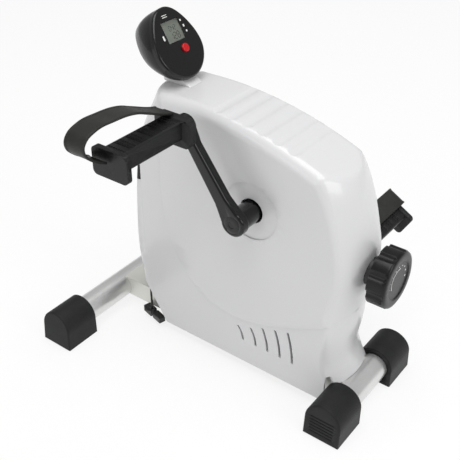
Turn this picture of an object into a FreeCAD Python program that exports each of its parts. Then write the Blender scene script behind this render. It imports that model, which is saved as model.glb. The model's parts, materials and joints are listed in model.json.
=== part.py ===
import FreeCAD, Part
import math
import os

import Sketcher
from FreeCAD import Placement, Rotation, Vector

# Magnetic pedal exerciser. Millimetres, +Z up, +X towards the person who pedals, -Y the side
# of the left crank. While the parts are made, x = 0 lies midway between the two foot tubes
# and z = 0 is the floor; at the end everything moves along X so that the origin is under the
# middle of the whole machine.

SIZES = {
    # foot tubes, beam and rubber feet
    "foot_spacing": 394.4, "tube_od": 38.0, "tube_wall": 1.5, "tube_axis_z": 25.5,
    "rear_foot_span": 328.0, "front_foot_span": 183.0,
    "cap_width": 51.0, "cap_reach": 51.8, "cap_end_wall": 12.0, "cap_slant": 5.0,
    "cap_round_z": 27.5, "cap_groove_depth": 1.2, "cap_groove_pitch": 4.6,
    "beam_width": 60.0, "beam_height": 30.0, "beam_wall": 1.5, "beam_top_z": 43.0,
    # upright, crank bearing shell and crank
    "post_length": 34.0, "post_width": 24.0, "post_wall": 2.0, "post_y": -10.0,
    "crank_x": 54.0, "crank_z": 260.5, "shell_od": 42.0, "shell_length": 48.0,
    "crank_bearing_od": 35.0, "crank_bearing_width": 10.0, "crank_shaft_d": 17.0,
    "square_side": 12.0, "square_length": 20.0, "run_gap": 0.04,
    "crank_length": 127.0, "crank_angle": 125.0, "arm_plane_y": 81.0, "arm_thickness": 14.0,
    "arm_root_d": 33.0, "arm_tip_d": 28.0, "arm_bar_width": 19.0,
    "arm_boss_d": 29.0, "arm_boss_inner_y": 46.0, "bolt_head_d": 19.0, "bolt_d": 8.0,
    "bolt_head_height": 5.0,
    # drive
    "pulley_r": 78.0, "pulley_y": 26.0, "pulley_width": 12.0, "pulley_groove": 3.0,
    "belt_width": 8.0, "belt_thickness": 2.4, "belt_gap": 0.3,
    "wheel_x": -68.0, "wheel_z": 150.0, "wheel_r": 82.0, "wheel_width": 22.0, "wheel_y": -3.0,
    "wheel_rim": 17.0, "wheel_web": 6.0, "wheel_hub_r": 20.0,
    "wheel_bearing_od": 26.0, "wheel_bearing_width": 8.0, "wheel_axle_d": 10.0,
    "small_pulley_r": 14.0,
    "ear_width": 34.0, "ear_thickness": 4.0, "ear_left_y": -26.0, "ear_right_y": 33.5,
    "nut_flats": 17.0, "nut_height": 5.0, "axle_overhang": 1.0,
    # magnet brake and its control
    "shoe_gap": 3.0, "shoe_thickness": 4.0, "shoe_angle": 62.0, "shoe_cheek": 9.0,
    "pivot_d": 6.0,
    "knob_r": 37.0, "knob_depth": 24.0, "knob_face_x": 231.4, "knob_z": 207.0,
    "middle_offset_y": 12.95,
    "knob_skirt_wall": 3.5, "collar_d": 36.0, "collar_flange_d": 42.0,
    "control_shaft_d": 8.0,
    "cable_d": 5.0, "cable_wire_d": 1.6, "cable_y": 7.0, "cable_drop": 8.0,
    "control_x": 172.0, "sensor_magnet_d": 8.0, "lead_d": 3.0,
    "plug_x": -122.0, "plug_y": -42.0, "plug_z": 12.0, "plug_yaw": -15.0,
    "plug_length": 42.0, "plug_width": 11.0, "plug_height": 10.0, "plug_lead_z": 60.0,
    # housing
    "wall": 3.0, "half_width": 50.0, "front_round_r": 72.0, "rear_round_r": 60.0,
    "skirt_bottom_z": 13.6, "side_fillet": 11.0, "corner_fillet": 15.0,
    "crank_hole_r": 16.5, "crank_ring_r": 38.5, "crank_ring_depth": 1.5,
    "flute_pitch": 21.3, "flute_r": 19.5, "flute_depth": 1.5, "flute_half": 42.0,
    "vent_width": 3.6, "vent_bottom_z": 51.0,
    "screw_d": 4.0, "boss_d": 10.0, "screw_head_d": 7.5,
    "grip_r": 17.0, "grip_low_z": 132.0, "grip_high_z": 262.0,
    # pedals
    "pedal_inner_y": 91.0, "pedal_outer_y": 203.0, "pedal_width": 50.0, "pedal_top": 19.0,
    "pedal_rib_bottom": 6.0, "pedal_flange_bottom": 15.0, "pedal_barrel_d": 22.0,
    "pedal_inner_flange": 12.0, "pedal_outer_flange": 7.0, "spindle_d": 12.0,
    "tread_step": 10.0, "tread_drop": 2.0, "strap_width": 28.0, "strap_thickness": 3.0,
    # console
    "pod_x": -100.2, "pod_z": 435.6, "pod_tilt": 32.0, "bezel_depth": 8.0, "pod_depth": 35.0,
    "pod_rear_slope": 0.34,
    "window_width": 30.0, "window_height": 26.0, "button_r": 5.5, "button_u": 6.0, "button_travel": 1.2,
    "button_v": -24.0, "neck_width": 24.0, "neck_depth": 27.0, "cell_d": 10.5, "cell_length": 44.5,
}

document = FreeCAD.newDocument("pedal_exerciser")
sheet = document.addObject("Spreadsheet::Sheet", "Sizes")
for row, (alias, value) in enumerate(SIZES.items(), start=1):
    sheet.set("A%d" % row, alias)
    sheet.set("B%d" % row, str(value))
    sheet.setAlias("B%d" % row, alias)
document.recompute()


class Size:
    """A length that knows the spreadsheet expression it comes from."""

    def __init__(self, value, text):
        self.value = value
        self.text = text

    def _join(self, other, sign, flip=False):
        other = as_size(other)
        left, right = (other, self) if flip else (self, other)
        results = {
            "+": left.value + right.value,
            "-": left.value - right.value,
            "*": left.value * right.value,
            "/": left.value / right.value if right.value else 0.0,
        }
        return Size(results[sign], "(%s %s %s)" % (left.text, sign, right.text))

    def __add__(self, other):
        return self._join(other, "+")

    def __radd__(self, other):
        return self._join(other, "+", True)

    def __sub__(self, other):
        return self._join(other, "-")

    def __rsub__(self, other):
        return self._join(other, "-", True)

    def __mul__(self, other):
        return self._join(other, "*")

    def __rmul__(self, other):
        return self._join(other, "*", True)

    def __truediv__(self, other):
        return self._join(other, "/")

    def __neg__(self):
        return self._join(-1, "*")

    def __float__(self):
        return float(self.value)


def as_size(value):
    return value if isinstance(value, Size) else Size(float(value), "%.6f" % value)


class Sheet:
    """Reads each aliased cell as a Size: S.tube_od."""

    def __getattr__(self, alias):
        return Size(float(sheet.get(alias)), "Sizes." + alias)


S = Sheet()
AXIS_X = Vector(1, 0, 0)
AXIS_Y = Vector(0, 1, 0)
AXIS_Z = Vector(0, 0, 1)
ALONG_X = Rotation(AXIS_Y, 90)
ALONG_Y = Rotation(AXIS_X, -90)
UPRIGHT = Rotation()
nodes = []


# ---------------------------------------------------------------- building blocks


def vector(x, y, z):
    return Vector(float(x), float(y), float(z))


def bind(thing, **sizes):
    """Ties properties of a document object to the sheet."""
    for prop, size in sizes.items():
        thing.setExpression(prop, as_size(size).text)
    return thing


def at(thing, x, y, z, turn=UPRIGHT):
    thing.Placement = Placement(vector(x, y, z), turn)
    return thing


def box(name, length, width, height, x, y, z):
    """A box centred on x and y, standing on z."""
    made = document.addObject("Part::Box", name)
    bind(made, Length=length, Width=width, Height=height)
    return at(made, x - length / 2, y - width / 2, z)


def cylinder(name, radius, height, x, y, z, turn=UPRIGHT):
    made = document.addObject("Part::Cylinder", name)
    bind(made, Radius=radius, Height=height)
    return at(made, x, y, z, turn)


def joined(name, *parts):
    made = document.addObject("Part::MultiFuse", name)
    made.Shapes = list(parts)
    return made


def without(name, base, *tools):
    made = document.addObject("Part::Cut", name)
    made.Base = base
    made.Tool = tools[0] if len(tools) == 1 else joined(name + "_tools", *tools)
    return made


def feature(name, shape):
    made = document.addObject("Part::Feature", name)
    made.Shape = shape
    return made


def node(made, label=None):
    """Marks a finished sub-part: its label names its file."""
    made.Label = label or made.Name
    nodes.append(made)
    return made


def sketch_polygon(sketch, points):
    """A closed polygon whose every corner is tied to the sheet."""
    count = len(points)
    for index, (u, v) in enumerate(points):
        next_u, next_v = points[(index + 1) % count]
        sketch.addGeometry(Part.LineSegment(vector(u, v, 0), vector(next_u, next_v, 0)))
    for index in range(count):
        sketch.addConstraint(
            Sketcher.Constraint("Coincident", index, 2, (index + 1) % count, 1)
        )
    for index, (u, v) in enumerate(points):
        for kind, size in (("DistanceX", as_size(u)), ("DistanceY", as_size(v))):
            place = Sketcher.Constraint(kind, -1, 1, index, 1, size.value)
            number = sketch.addConstraint(place)
            sketch.setExpression("Constraints[%d]" % number, size.text)


def body_sketch(body, role, points):
    plane = [f for f in body.Origin.OriginFeatures if f.Role == role][0]
    sketch = body.newObject("Sketcher::SketchObject", body.Name + "_" + role)
    sketch.AttachmentSupport = [(plane, "")]
    sketch.MapMode = "FlatFace"
    sketch_polygon(sketch, points)
    return sketch


def turned(name, outline, x, y, z, turn=ALONG_Y):
    """A turned part: outline holds (along, radius) pairs, and turn points its axis."""
    body = document.addObject("PartDesign::Body", name)
    sketch = body_sketch(body, "XZ_Plane", [(radius, along) for along, radius in outline])
    spin = body.newObject("PartDesign::Revolution", name + "_spin")
    spin.Profile = sketch
    spin.ReferenceAxis = (sketch, ["V_Axis"])
    spin.Angle = 360
    return at(body, x, y, z, turn)


def padded(name, role, outline, thickness, x, y, z, turn=UPRIGHT):
    """A flat part: a sketched outline padded by its thickness on both sides of its plane."""
    body = document.addObject("PartDesign::Body", name)
    sketch = body_sketch(body, role, outline)
    pad = body.newObject("PartDesign::Pad", name + "_pad")
    pad.Profile = sketch
    pad.SideType = "Symmetric"
    bind(pad, Length=thickness)
    return at(body, x, y, z, turn)


def ring(inner, outer, start, end):
    """The outline of a plain ring for turned()."""
    return [(start, inner), (end, inner), (end, outer), (start, outer)]


def smooth_wire(points, closed=False):
    curve = Part.BSplineCurve()
    curve.interpolate([vector(*p) for p in points], closed)
    return curve.toShape()


def prism_y(points, half):
    """A polygon in the XZ plane made solid from -half to +half along Y."""
    corners = [vector(x, -float(half), z) for x, z in points]
    face = Part.Face(Part.makePolygon(corners + corners[:1]))
    return face.extrude(vector(0, 2 * float(half), 0))


# ---------------------------------------------------------------- frame


rear_x = -S.foot_spacing / 2
front_x = S.foot_spacing / 2
cap_top = S.cap_round_z + S.cap_width / 2
tube_r = S.tube_od / 2


def foot_tube(name, x, span):
    length = span - 2 * S.cap_end_wall
    start = -length / 2
    outer = cylinder(name + "_outer", tube_r, length, x, start, S.tube_axis_z, ALONG_Y)
    inner = cylinder(
        name + "_inner", tube_r - S.tube_wall, length, x, start, S.tube_axis_z, ALONG_Y
    )
    return node(without(name, outer, inner))


def foot_cap(name, x, span, side, grooved):
    """A rubber foot: flat sole, round top, an end face that leans out towards the floor."""
    reach = float(S.cap_reach)
    slant = float(S.cap_slant)
    half = float(S.cap_width) / 2
    end = float(span) / 2
    round_z = float(S.cap_round_z)
    top = round_z + half
    profile = Part.Face(
        Part.Wire(
            [
                Part.makeLine(vector(-half, 0, 0), vector(half, 0, 0)),
                Part.makeLine(vector(half, 0, 0), vector(half, 0, round_z)),
                Part.Arc(
                    vector(half, 0, round_z), vector(0, 0, top), vector(-half, 0, round_z)
                ).toShape(),
                Part.makeLine(vector(-half, 0, round_z), vector(-half, 0, 0)),
            ]
        )
    )
    solid = profile.extrude(vector(0, reach + slant, 0))
    lean = slant / top
    side_view = [(0, 0), (reach + slant, 0), (reach, top), (0, top)]
    keep = Part.Face(
        Part.makePolygon([vector(-half, y, z) for y, z in side_view + side_view[:1]])
    ).extrude(vector(2 * half, 0, 0))
    solid = solid.common(keep)
    end_edges = [e for e in solid.Edges if e.CenterOfMass.y > reach - 1]
    solid = solid.makeFillet(2.5, end_edges)
    inner_edges = [
        e for e in solid.Edges if abs(e.BoundBox.YMax) < 0.01 and e.BoundBox.ZMax > 1
    ]
    solid = solid.makeChamfer(1.0, inner_edges)
    if grooved:
        pitch = float(S.cap_groove_pitch)
        depth = float(S.cap_groove_depth)
        for count in range(6):
            z = 9 + pitch * count
            y = reach + slant - lean * z - depth
            cut = Part.makeBox(2 * half - 18, 3 * depth, pitch * 0.4, vector(9 - half, y, z))
            solid = solid.cut(cut)
    bore_length = reach - float(S.cap_end_wall)
    bore = Part.makeCylinder(
        float(tube_r), bore_length, vector(0, 0, S.tube_axis_z), AXIS_Y
    )
    solid = solid.cut(bore)
    if side < 0:
        solid = solid.mirror(Vector(), AXIS_Y)
    made = feature(name, solid)
    return node(at(made, x, side * (end - reach), 0))


foot_tube("rear_foot_tube", rear_x, S.rear_foot_span)
foot_tube("front_foot_tube", front_x, S.front_foot_span)
foot_cap("rear_left_foot_cap", rear_x, S.rear_foot_span, -1, False)
foot_cap("rear_right_foot_cap", rear_x, S.rear_foot_span, 1, False)
foot_cap("front_left_foot_cap", front_x, S.front_foot_span, -1, True)
foot_cap("front_right_foot_cap", front_x, S.front_foot_span, 1, True)


def main_beam():
    bottom = S.beam_top_z - S.beam_height
    wall = S.beam_wall
    outer = box(
        "beam_outer", S.foot_spacing, S.beam_width, S.beam_height, 0, as_size(0), bottom
    )
    inner = box(
        "beam_inner",
        S.foot_spacing + 20,
        S.beam_width - 2 * wall,
        S.beam_height - 2 * wall,
        0,
        as_size(0),
        bottom + wall,
    )
    copes = [
        cylinder("beam_cope", tube_r, 100, x, -50, S.tube_axis_z, ALONG_Y)
        for x in (rear_x, front_x)
    ]
    return node(without("main_beam", outer, inner, *copes))


main_beam()


def upright_post():
    height = S.crank_z - S.beam_top_z
    wall = S.post_wall
    outer = box(
        "post_outer", S.post_length, S.post_width, height, S.crank_x, S.post_y, S.beam_top_z
    )
    inner = box(
        "post_inner",
        S.post_length - 2 * wall,
        S.post_width - 2 * wall,
        height + 10,
        S.crank_x,
        S.post_y,
        S.beam_top_z - 5,
    )
    cope = cylinder("post_cope", S.shell_od / 2, 100, S.crank_x, -50, S.crank_z, ALONG_Y)
    return node(without("upright_post", outer, inner, cope))


upright_post()
shell_start = S.post_y - S.shell_length / 2
bearing_r = S.crank_bearing_od / 2
shaft_r = S.crank_shaft_d / 2
node(
    turned(
        "crank_bearing_shell",
        [
            (0, bearing_r),
            (S.crank_bearing_width, bearing_r),
            (S.crank_bearing_width, bearing_r - 2),
            (S.shell_length - S.crank_bearing_width, bearing_r - 2),
            (S.shell_length - S.crank_bearing_width, bearing_r),
            (S.shell_length, bearing_r),
            (S.shell_length, S.shell_od / 2),
            (0, S.shell_od / 2),
        ],
        S.crank_x,
        shell_start,
        S.crank_z,
    )
)
crank_bearings = []
for start in (shell_start, shell_start + S.shell_length - S.crank_bearing_width):
    outline = ring(shaft_r + S.run_gap, bearing_r, 0, S.crank_bearing_width)
    crank_bearings.append(turned("crank_bearing", outline, S.crank_x, start, S.crank_z))
node(joined("crank_bearings", *crank_bearings))


def wheel_bracket():
    """A bent steel fork welded to the beam, with an ear each side of the flywheel."""
    ear = S.ear_thickness
    width = S.ear_right_y - S.ear_left_y + ear
    middle = (S.ear_right_y + S.ear_left_y + ear) / 2
    height = S.wheel_z - S.beam_top_z
    base = box(
        "bracket_base", S.ear_width, width, ear, S.wheel_x, middle, S.beam_top_z
    )
    ears = []
    for start in (S.ear_left_y, S.ear_right_y):
        ears.append(
            box(
                "bracket_ear", S.ear_width, ear, height, S.wheel_x, start + ear / 2, S.beam_top_z
            )
        )
        ears.append(
            cylinder("bracket_head", S.ear_width / 2, ear, S.wheel_x, start, S.wheel_z, ALONG_Y)
        )
    hole = cylinder(
        "bracket_hole", S.wheel_axle_d / 2, 200, S.wheel_x, -100, S.wheel_z, ALONG_Y
    )
    return node(without("flywheel_bracket", joined("bracket_blank", base, *ears), hole))


wheel_bracket()

# ---------------------------------------------------------------- crank axle and drive

arm_inner_y = S.arm_plane_y - S.arm_thickness / 2
arm_outer_y = S.arm_plane_y + S.arm_thickness / 2
square_end_y = arm_inner_y + S.arm_thickness - S.bolt_head_height - 1
square_start_y = square_end_y - S.square_length


def crank_axle():
    round_length = 2 * square_start_y
    shaft = cylinder(
        "axle_shaft", shaft_r, round_length, S.crank_x, -square_start_y, S.crank_z, ALONG_Y
    )
    square = box(
        "axle_square",
        S.square_side,
        2 * square_end_y,
        S.square_side,
        S.crank_x,
        as_size(0),
        S.crank_z - S.square_side / 2,
    )
    flange = cylinder(
        "axle_flange",
        S.shell_od / 2 - 1,
        4,
        S.crank_x,
        S.pulley_y - S.pulley_width / 2 - 4,
        S.crank_z,
        ALONG_Y,
    )
    holes = []
    for start in (-square_end_y - 1, square_end_y - 18):
        holes.append(
            cylinder("axle_thread", S.bolt_d / 2, 19, S.crank_x, start, S.crank_z, ALONG_Y)
        )
    return node(without("crank_axle", joined("axle_blank", shaft, square, flange), *holes))


crank_axle()

pulley_half = S.pulley_width / 2
groove_half = S.belt_width / 2 + S.belt_gap
groove_r = S.pulley_r - S.pulley_groove


def pulley_profile(bore, rim_r, web_half, rim_inner):
    """Half section of a grooved pulley, from its middle plane outwards."""
    half = pulley_half
    floor = rim_r - S.pulley_groove
    return [
        (-half, bore),
        (half, bore),
        (half, bore + 7),
        (web_half, bore + 7),
        (web_half, rim_inner),
        (half, rim_inner),
        (half, rim_r),
        (groove_half, rim_r),
        (groove_half, floor),
        (-groove_half, floor),
        (-groove_half, rim_r),
        (-half, rim_r),
        (-half, rim_inner),
        (-web_half, rim_inner),
        (-web_half, bore + 7),
        (-half, bore + 7),
    ]


def drive_pulley():
    blank = turned(
        "pulley_blank",
        pulley_profile(shaft_r, S.pulley_r, as_size(2), groove_r - 5),
        S.crank_x,
        S.pulley_y,
        S.crank_z,
    )
    windows = []
    for count in range(6):
        angle = math.radians(60 * count)
        reach = float(S.pulley_r) * 0.58
        windows.append(
            cylinder(
                "pulley_window",
                as_size(15),
                40,
                S.crank_x + reach * math.cos(angle),
                S.pulley_y - 20,
                S.crank_z + reach * math.sin(angle),
                ALONG_Y,
            )
        )
    return node(without("drive_pulley", blank, *windows))


drive_pulley()
wheel_side_gap = S.wheel_y + S.wheel_width / 2 - S.pulley_y
node(
    turned(
        "flywheel_pulley",
        [
            (wheel_side_gap, S.wheel_axle_d / 2 + 1),
            (pulley_half, S.wheel_axle_d / 2 + 1),
            (pulley_half, S.small_pulley_r),
            (groove_half, S.small_pulley_r),
            (groove_half, S.small_pulley_r - S.pulley_groove),
            (-groove_half, S.small_pulley_r - S.pulley_groove),
            (-groove_half, S.small_pulley_r),
            (wheel_side_gap, S.small_pulley_r),
        ],
        S.wheel_x,
        S.pulley_y,
        S.wheel_z,
    )
)


def drive_belt():
    """A flat belt round both pulleys: two arcs and their outer tangents."""
    big = Vector(float(S.crank_x), 0, float(S.crank_z))
    small = Vector(float(S.wheel_x), 0, float(S.wheel_z))
    line = small - big
    distance = line.Length
    base = math.atan2(line.z, line.x)

    def loop(extra):
        big_r = float(groove_r + S.belt_gap) + extra
        small_r = float(S.small_pulley_r - S.pulley_groove + S.belt_gap) + extra
        spread = math.acos((big_r - small_r) / distance)

        def on(centre, radius, angle):
            return centre + Vector(math.cos(angle), 0, math.sin(angle)) * radius

        high = base + spread
        low = base - spread
        edges = [
            Part.makeLine(on(big, big_r, high), on(small, small_r, high)),
            Part.Arc(
                on(small, small_r, high), on(small, small_r, base), on(small, small_r, low)
            ).toShape(),
            Part.makeLine(on(small, small_r, low), on(big, big_r, low)),
            Part.Arc(
                on(big, big_r, low), on(big, big_r, base + math.pi), on(big, big_r, high)
            ).toShape(),
        ]
        return Part.Face(Part.Wire(edges))

    face = loop(float(S.belt_thickness)).cut(loop(0.0))
    solid = face.extrude(vector(0, S.belt_width, 0))
    solid.translate(vector(0, S.pulley_y - S.belt_width / 2, 0))
    return node(feature("drive_belt", solid))


drive_belt()

wheel_half = S.wheel_width / 2
wheel_bearing_r = S.wheel_bearing_od / 2
node(
    turned(
        "flywheel",
        [
            (-wheel_half, wheel_bearing_r),
            (wheel_half, wheel_bearing_r),
            (wheel_half, S.wheel_hub_r),
            (S.wheel_web / 2, S.wheel_hub_r + 4),
            (S.wheel_web / 2, S.wheel_r - S.wheel_rim - 4),
            (wheel_half, S.wheel_r - S.wheel_rim),
            (wheel_half, S.wheel_r),
            (-wheel_half, S.wheel_r),
            (-wheel_half, S.wheel_r - S.wheel_rim),
            (-S.wheel_web / 2, S.wheel_r - S.wheel_rim - 4),
            (-S.wheel_web / 2, S.wheel_hub_r + 4),
            (-wheel_half, S.wheel_hub_r),
        ],
        S.wheel_x,
        S.wheel_y,
        S.wheel_z,
    )
)
wheel_bearings = []
for start in (S.wheel_y - wheel_half, S.wheel_y + wheel_half - S.wheel_bearing_width):
    outline = ring(S.wheel_axle_d / 2 + S.run_gap, wheel_bearing_r, 0, S.wheel_bearing_width)
    wheel_bearings.append(turned("wheel_bearing", outline, S.wheel_x, start, S.wheel_z))
node(joined("flywheel_bearings", *wheel_bearings))

axle_start = S.ear_left_y - S.nut_height - S.axle_overhang
axle_end = S.ear_right_y + S.ear_thickness + S.nut_height + S.axle_overhang
node(
    cylinder(
        "flywheel_axle",
        S.wheel_axle_d / 2,
        axle_end - axle_start,
        S.wheel_x,
        axle_start,
        S.wheel_z,
        ALONG_Y,
    )
)


def hexagon(radius):
    corners = []
    for count in range(6):
        angle = math.radians(60 * count)
        corners.append((radius * math.cos(angle), radius * math.sin(angle)))
    return corners


def hex_nut(name, flats, bore_r, height, x, y, z):
    body = padded(name + "_blank", "XY_Plane", hexagon(flats / math.sqrt(3)), height, 0, 0, 0)
    at(body, x, y + height / 2, z, ALONG_Y)
    hole = cylinder(name + "_hole", bore_r, 60, x, y - 20, z, ALONG_Y)
    return without(name, body, hole)


nut_starts = (S.ear_left_y - S.nut_height, S.ear_right_y + S.ear_thickness)
node(
    joined(
        "flywheel_axle_nuts",
        *[
            hex_nut(
                "axle_nut_%d" % side,
                S.nut_flats,
                S.wheel_axle_d / 2,
                S.nut_height,
                S.wheel_x,
                start,
                S.wheel_z,
            )
            for side, start in enumerate(nut_starts)
        ]
    )
)
spacer_r = S.wheel_axle_d / 2 + 2.5
wheel_left_y = S.wheel_y - wheel_half
node(
    joined(
        "flywheel_spacers",
        turned(
            "left_spacer",
            ring(
                S.wheel_axle_d / 2, spacer_r, S.ear_left_y + S.ear_thickness, wheel_left_y - 0.3
            ),
            S.wheel_x,
            as_size(0),
            S.wheel_z,
        ),
        turned(
            "right_spacer",
            ring(S.wheel_axle_d / 2, spacer_r, S.pulley_y + pulley_half + 0.3, S.ear_right_y),
            S.wheel_x,
            as_size(0),
            S.wheel_z,
        ),
    )
)

# ---------------------------------------------------------------- magnet brake

wheel_centre = vector(S.wheel_x, 0, S.wheel_z)
shoe_inner_r = float(S.wheel_r + S.shoe_gap)
shoe_outer_r = shoe_inner_r + float(S.shoe_thickness)
cheek_gap = 5.5
cheek_half = float(wheel_half) + cheek_gap
half_angle = math.radians(float(S.shoe_angle)) / 2


def rim_sector(inner_r, outer_r, start, length, spread):
    """A piece of a ring round the flywheel, centred on its +X side."""
    ring_solid = Part.makeCylinder(outer_r, length, wheel_centre + Vector(0, start, 0), AXIS_Y)
    ring_solid = ring_solid.cut(
        Part.makeCylinder(inner_r, length, wheel_centre + Vector(0, start, 0), AXIS_Y)
    )
    far = outer_r * 2
    wedge = [
        (wheel_centre.x, wheel_centre.z),
        (wheel_centre.x + far * math.cos(spread), wheel_centre.z - far * math.sin(spread)),
        (wheel_centre.x + far * math.cos(spread), wheel_centre.z + far * math.sin(spread)),
    ]
    return ring_solid.common(prism_y(wedge, 200))


shoe_low = Vector(math.cos(half_angle), 0, -math.sin(half_angle))
pivot = wheel_centre + shoe_low * (shoe_outer_r + 4)
middle_y = float(S.wheel_y)
cable_end = wheel_centre + vector(shoe_outer_r + 7, S.cable_y, -S.cable_drop)


def magnet_bracket():
    """A channel that straddles the rim and swings away from it about its lower pin."""
    solid = rim_sector(
        shoe_inner_r, shoe_outer_r, middle_y - cheek_half, 2 * cheek_half, half_angle
    )
    for start in (middle_y - cheek_half, middle_y + cheek_half - 2):
        solid = solid.fuse(
            rim_sector(
                shoe_inner_r - float(S.shoe_cheek), shoe_outer_r, start, 2, half_angle
            )
        )
    lug_r = float(S.pivot_d) / 2 + 3
    lug = Part.makeCylinder(
        lug_r, 2 * cheek_half, pivot + Vector(0, middle_y - cheek_half, 0), AXIS_Y
    )
    bore = Part.makeCylinder(
        float(S.pivot_d) / 2 + float(S.run_gap), 200, pivot + Vector(0, -100, 0), AXIS_Y
    )
    eye = Part.makeBox(9, 6, 10, cable_end + Vector(-8.5, -3, -5))
    hook = Part.makeCylinder(1.1, 20, cable_end + Vector(-3, -10, 0), AXIS_Y)
    solid = solid.fuse(lug).cut(bore).fuse(eye).cut(hook)
    return node(feature("magnet_bracket", solid.removeSplitter()))


magnet_bracket()


def brake_magnets():
    """Round magnets glued inside both cheeks, facing the rim."""
    magnets = []
    radius = shoe_inner_r - float(S.shoe_cheek) / 2 - 0.2
    magnet_r = float(S.shoe_cheek) / 2
    for count in range(-2, 3):
        angle = half_angle * 0.42 * count
        centre = wheel_centre + Vector(math.cos(angle), 0, math.sin(angle)) * radius
        for start in (middle_y - cheek_half + 2, middle_y + cheek_half - 2 - 2.5):
            magnets.append(
                Part.makeCylinder(magnet_r - 0.3, 2.5, centre + Vector(0, start, 0), AXIS_Y)
            )
    return node(feature("brake_magnets", Part.makeCompound(magnets)))


brake_magnets()


def pivot_stand():
    """Two small ears on the beam that carry the brake's pin."""
    ears = []
    beam_top = float(S.beam_top_z)
    for start in (middle_y - cheek_half - 4, middle_y + cheek_half + 1):
        ear = Part.makeBox(14, 3, pivot.z - beam_top, Vector(pivot.x - 7, start, beam_top))
        head = Part.makeCylinder(7, 3, pivot + Vector(0, start, 0), AXIS_Y)
        ears.append(ear.fuse(head))
    foot = Part.makeBox(
        14, 2 * cheek_half + 8, 3, Vector(pivot.x - 7, middle_y - cheek_half - 4, beam_top)
    )
    pin_hole = Part.makeCylinder(float(S.pivot_d) / 2, 200, pivot + Vector(0, -100, 0), AXIS_Y)
    solid = foot.fuse(ears).cut(pin_hole).removeSplitter()
    return node(feature("brake_pivot_stand", solid))


pivot_stand()
node(
    cylinder(
        "brake_pivot_pin",
        S.pivot_d / 2,
        2 * cheek_half + 12,
        pivot.x,
        middle_y - cheek_half - 6,
        pivot.z,
        ALONG_Y,
    )
)

# ---------------------------------------------------------------- cranks

crank_turn = math.radians(float(S.crank_angle))
crank_centre = vector(S.crank_x, 0, S.crank_z)
crank_line = Vector(math.cos(crank_turn), 0, math.sin(crank_turn))
left_pedal_axis = crank_centre + crank_line * float(S.crank_length)
right_pedal_axis = crank_centre - crank_line * float(S.crank_length)


def crank_arm(name, side, pedal_axis):
    """A forged arm: round root and tip joined by a tapering bar, with a boss to the axle."""
    root_r = float(S.arm_root_d) / 2
    tip_r = float(S.arm_tip_d) / 2
    thick = float(S.arm_thickness)
    bar = float(S.arm_bar_width) / 2
    along = (pedal_axis - crank_centre).normalize()
    across = AXIS_Y.cross(along)
    start = vector(0, arm_inner_y, 0)
    root = Part.makeCylinder(root_r, thick, crank_centre + start, AXIS_Y)
    tip = Part.makeCylinder(tip_r, thick, pedal_axis + start, AXIS_Y)
    flat = [
        crank_centre + start - across * root_r * 0.97,
        crank_centre + start + along * root_r * 1.9 - across * bar,
        pedal_axis + start - along * tip_r * 1.8 - across * (bar - 2),
        pedal_axis + start - across * tip_r * 0.97,
    ]
    outline = flat + [p + across * 2 * (p - crank_centre - start).dot(-across) for p in reversed(flat)]
    bar_solid = Part.Face(Part.makePolygon(outline + outline[:1])).extrude(vector(0, thick, 0))
    solid = root.fuse([bar_solid, tip]).removeSplitter()
    rims = [e for e in solid.Edges if abs(abs(e.BoundBox.YMax - e.BoundBox.YMin)) < 0.01]
    solid = solid.makeFillet(3.5, rims)
    boss_inner = float(S.arm_boss_inner_y)
    boss = Part.makeCylinder(
        float(S.arm_boss_d) / 2,
        float(arm_inner_y) - boss_inner + 4,
        crank_centre + Vector(0, boss_inner, 0),
        AXIS_Y,
    )
    solid = solid.fuse(boss)
    side_half = float(S.square_side) / 2
    socket = Part.makeBox(
        2 * side_half,
        float(square_end_y),
        2 * side_half,
        crank_centre + Vector(-side_half, 0, -side_half),
    )
    head_hole = Part.makeCylinder(
        float(S.bolt_head_d) / 2,
        40,
        crank_centre + vector(0, square_end_y, 0),
        AXIS_Y,
    )
    spindle_hole = Part.makeCylinder(
        float(S.spindle_d) / 2, 100, pedal_axis + Vector(0, 40, 0), AXIS_Y
    )
    shaft_end = float(square_start_y)
    shaft_hole = Part.makeCylinder(
        float(shaft_r), shaft_end - boss_inner, crank_centre + Vector(0, boss_inner, 0), AXIS_Y
    )
    solid = solid.cut([socket, head_hole, spindle_hole, shaft_hole])
    if side < 0:
        solid = solid.mirror(Vector(), AXIS_Y)
    return node(feature(name, solid))


crank_arm("left_crank_arm", -1, left_pedal_axis)
crank_arm("right_crank_arm", 1, right_pedal_axis)


def crank_bolt(side):
    head_r = S.bolt_head_d / 2
    outline = [
        (-12, 0),
        (S.bolt_head_height, 0),
        (S.bolt_head_height, head_r - 2),
        (S.bolt_head_height - 1.2, head_r),
        (0, head_r),
        (0, S.bolt_d / 2),
        (-12, S.bolt_d / 2),
    ]
    turn = ALONG_Y if side > 0 else Rotation(AXIS_X, 90)
    return turned("crank_bolt_%d" % (side + 1), outline, S.crank_x, side * square_end_y, S.crank_z, turn)


node(joined("crank_bolts", crank_bolt(-1), crank_bolt(1)))

# ---------------------------------------------------------------- pedals


def pedal_spindle(name, side, axis):
    """A stepped steel spindle screwed into the arm, with a collar beside it."""
    inner = S.pedal_inner_y
    outline = [
        (arm_inner_y + 0.5, 0),
        (S.pedal_outer_y - 12, 0),
        (S.pedal_outer_y - 12, S.spindle_d / 2 - 2),
        (inner + 30, S.spindle_d / 2 - 2),
        (inner + 30, S.spindle_d / 2),
        (inner - 0.3, S.spindle_d / 2),
        (inner - 0.3, S.spindle_d / 2 + 3),
        (arm_outer_y, S.spindle_d / 2 + 3),
        (arm_outer_y, S.spindle_d / 2),
        (arm_inner_y + 0.5, S.spindle_d / 2),
    ]
    turn = ALONG_Y if side > 0 else Rotation(AXIS_X, 90)
    return node(turned(name, outline, axis.x, as_size(0), axis.z, turn))


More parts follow.
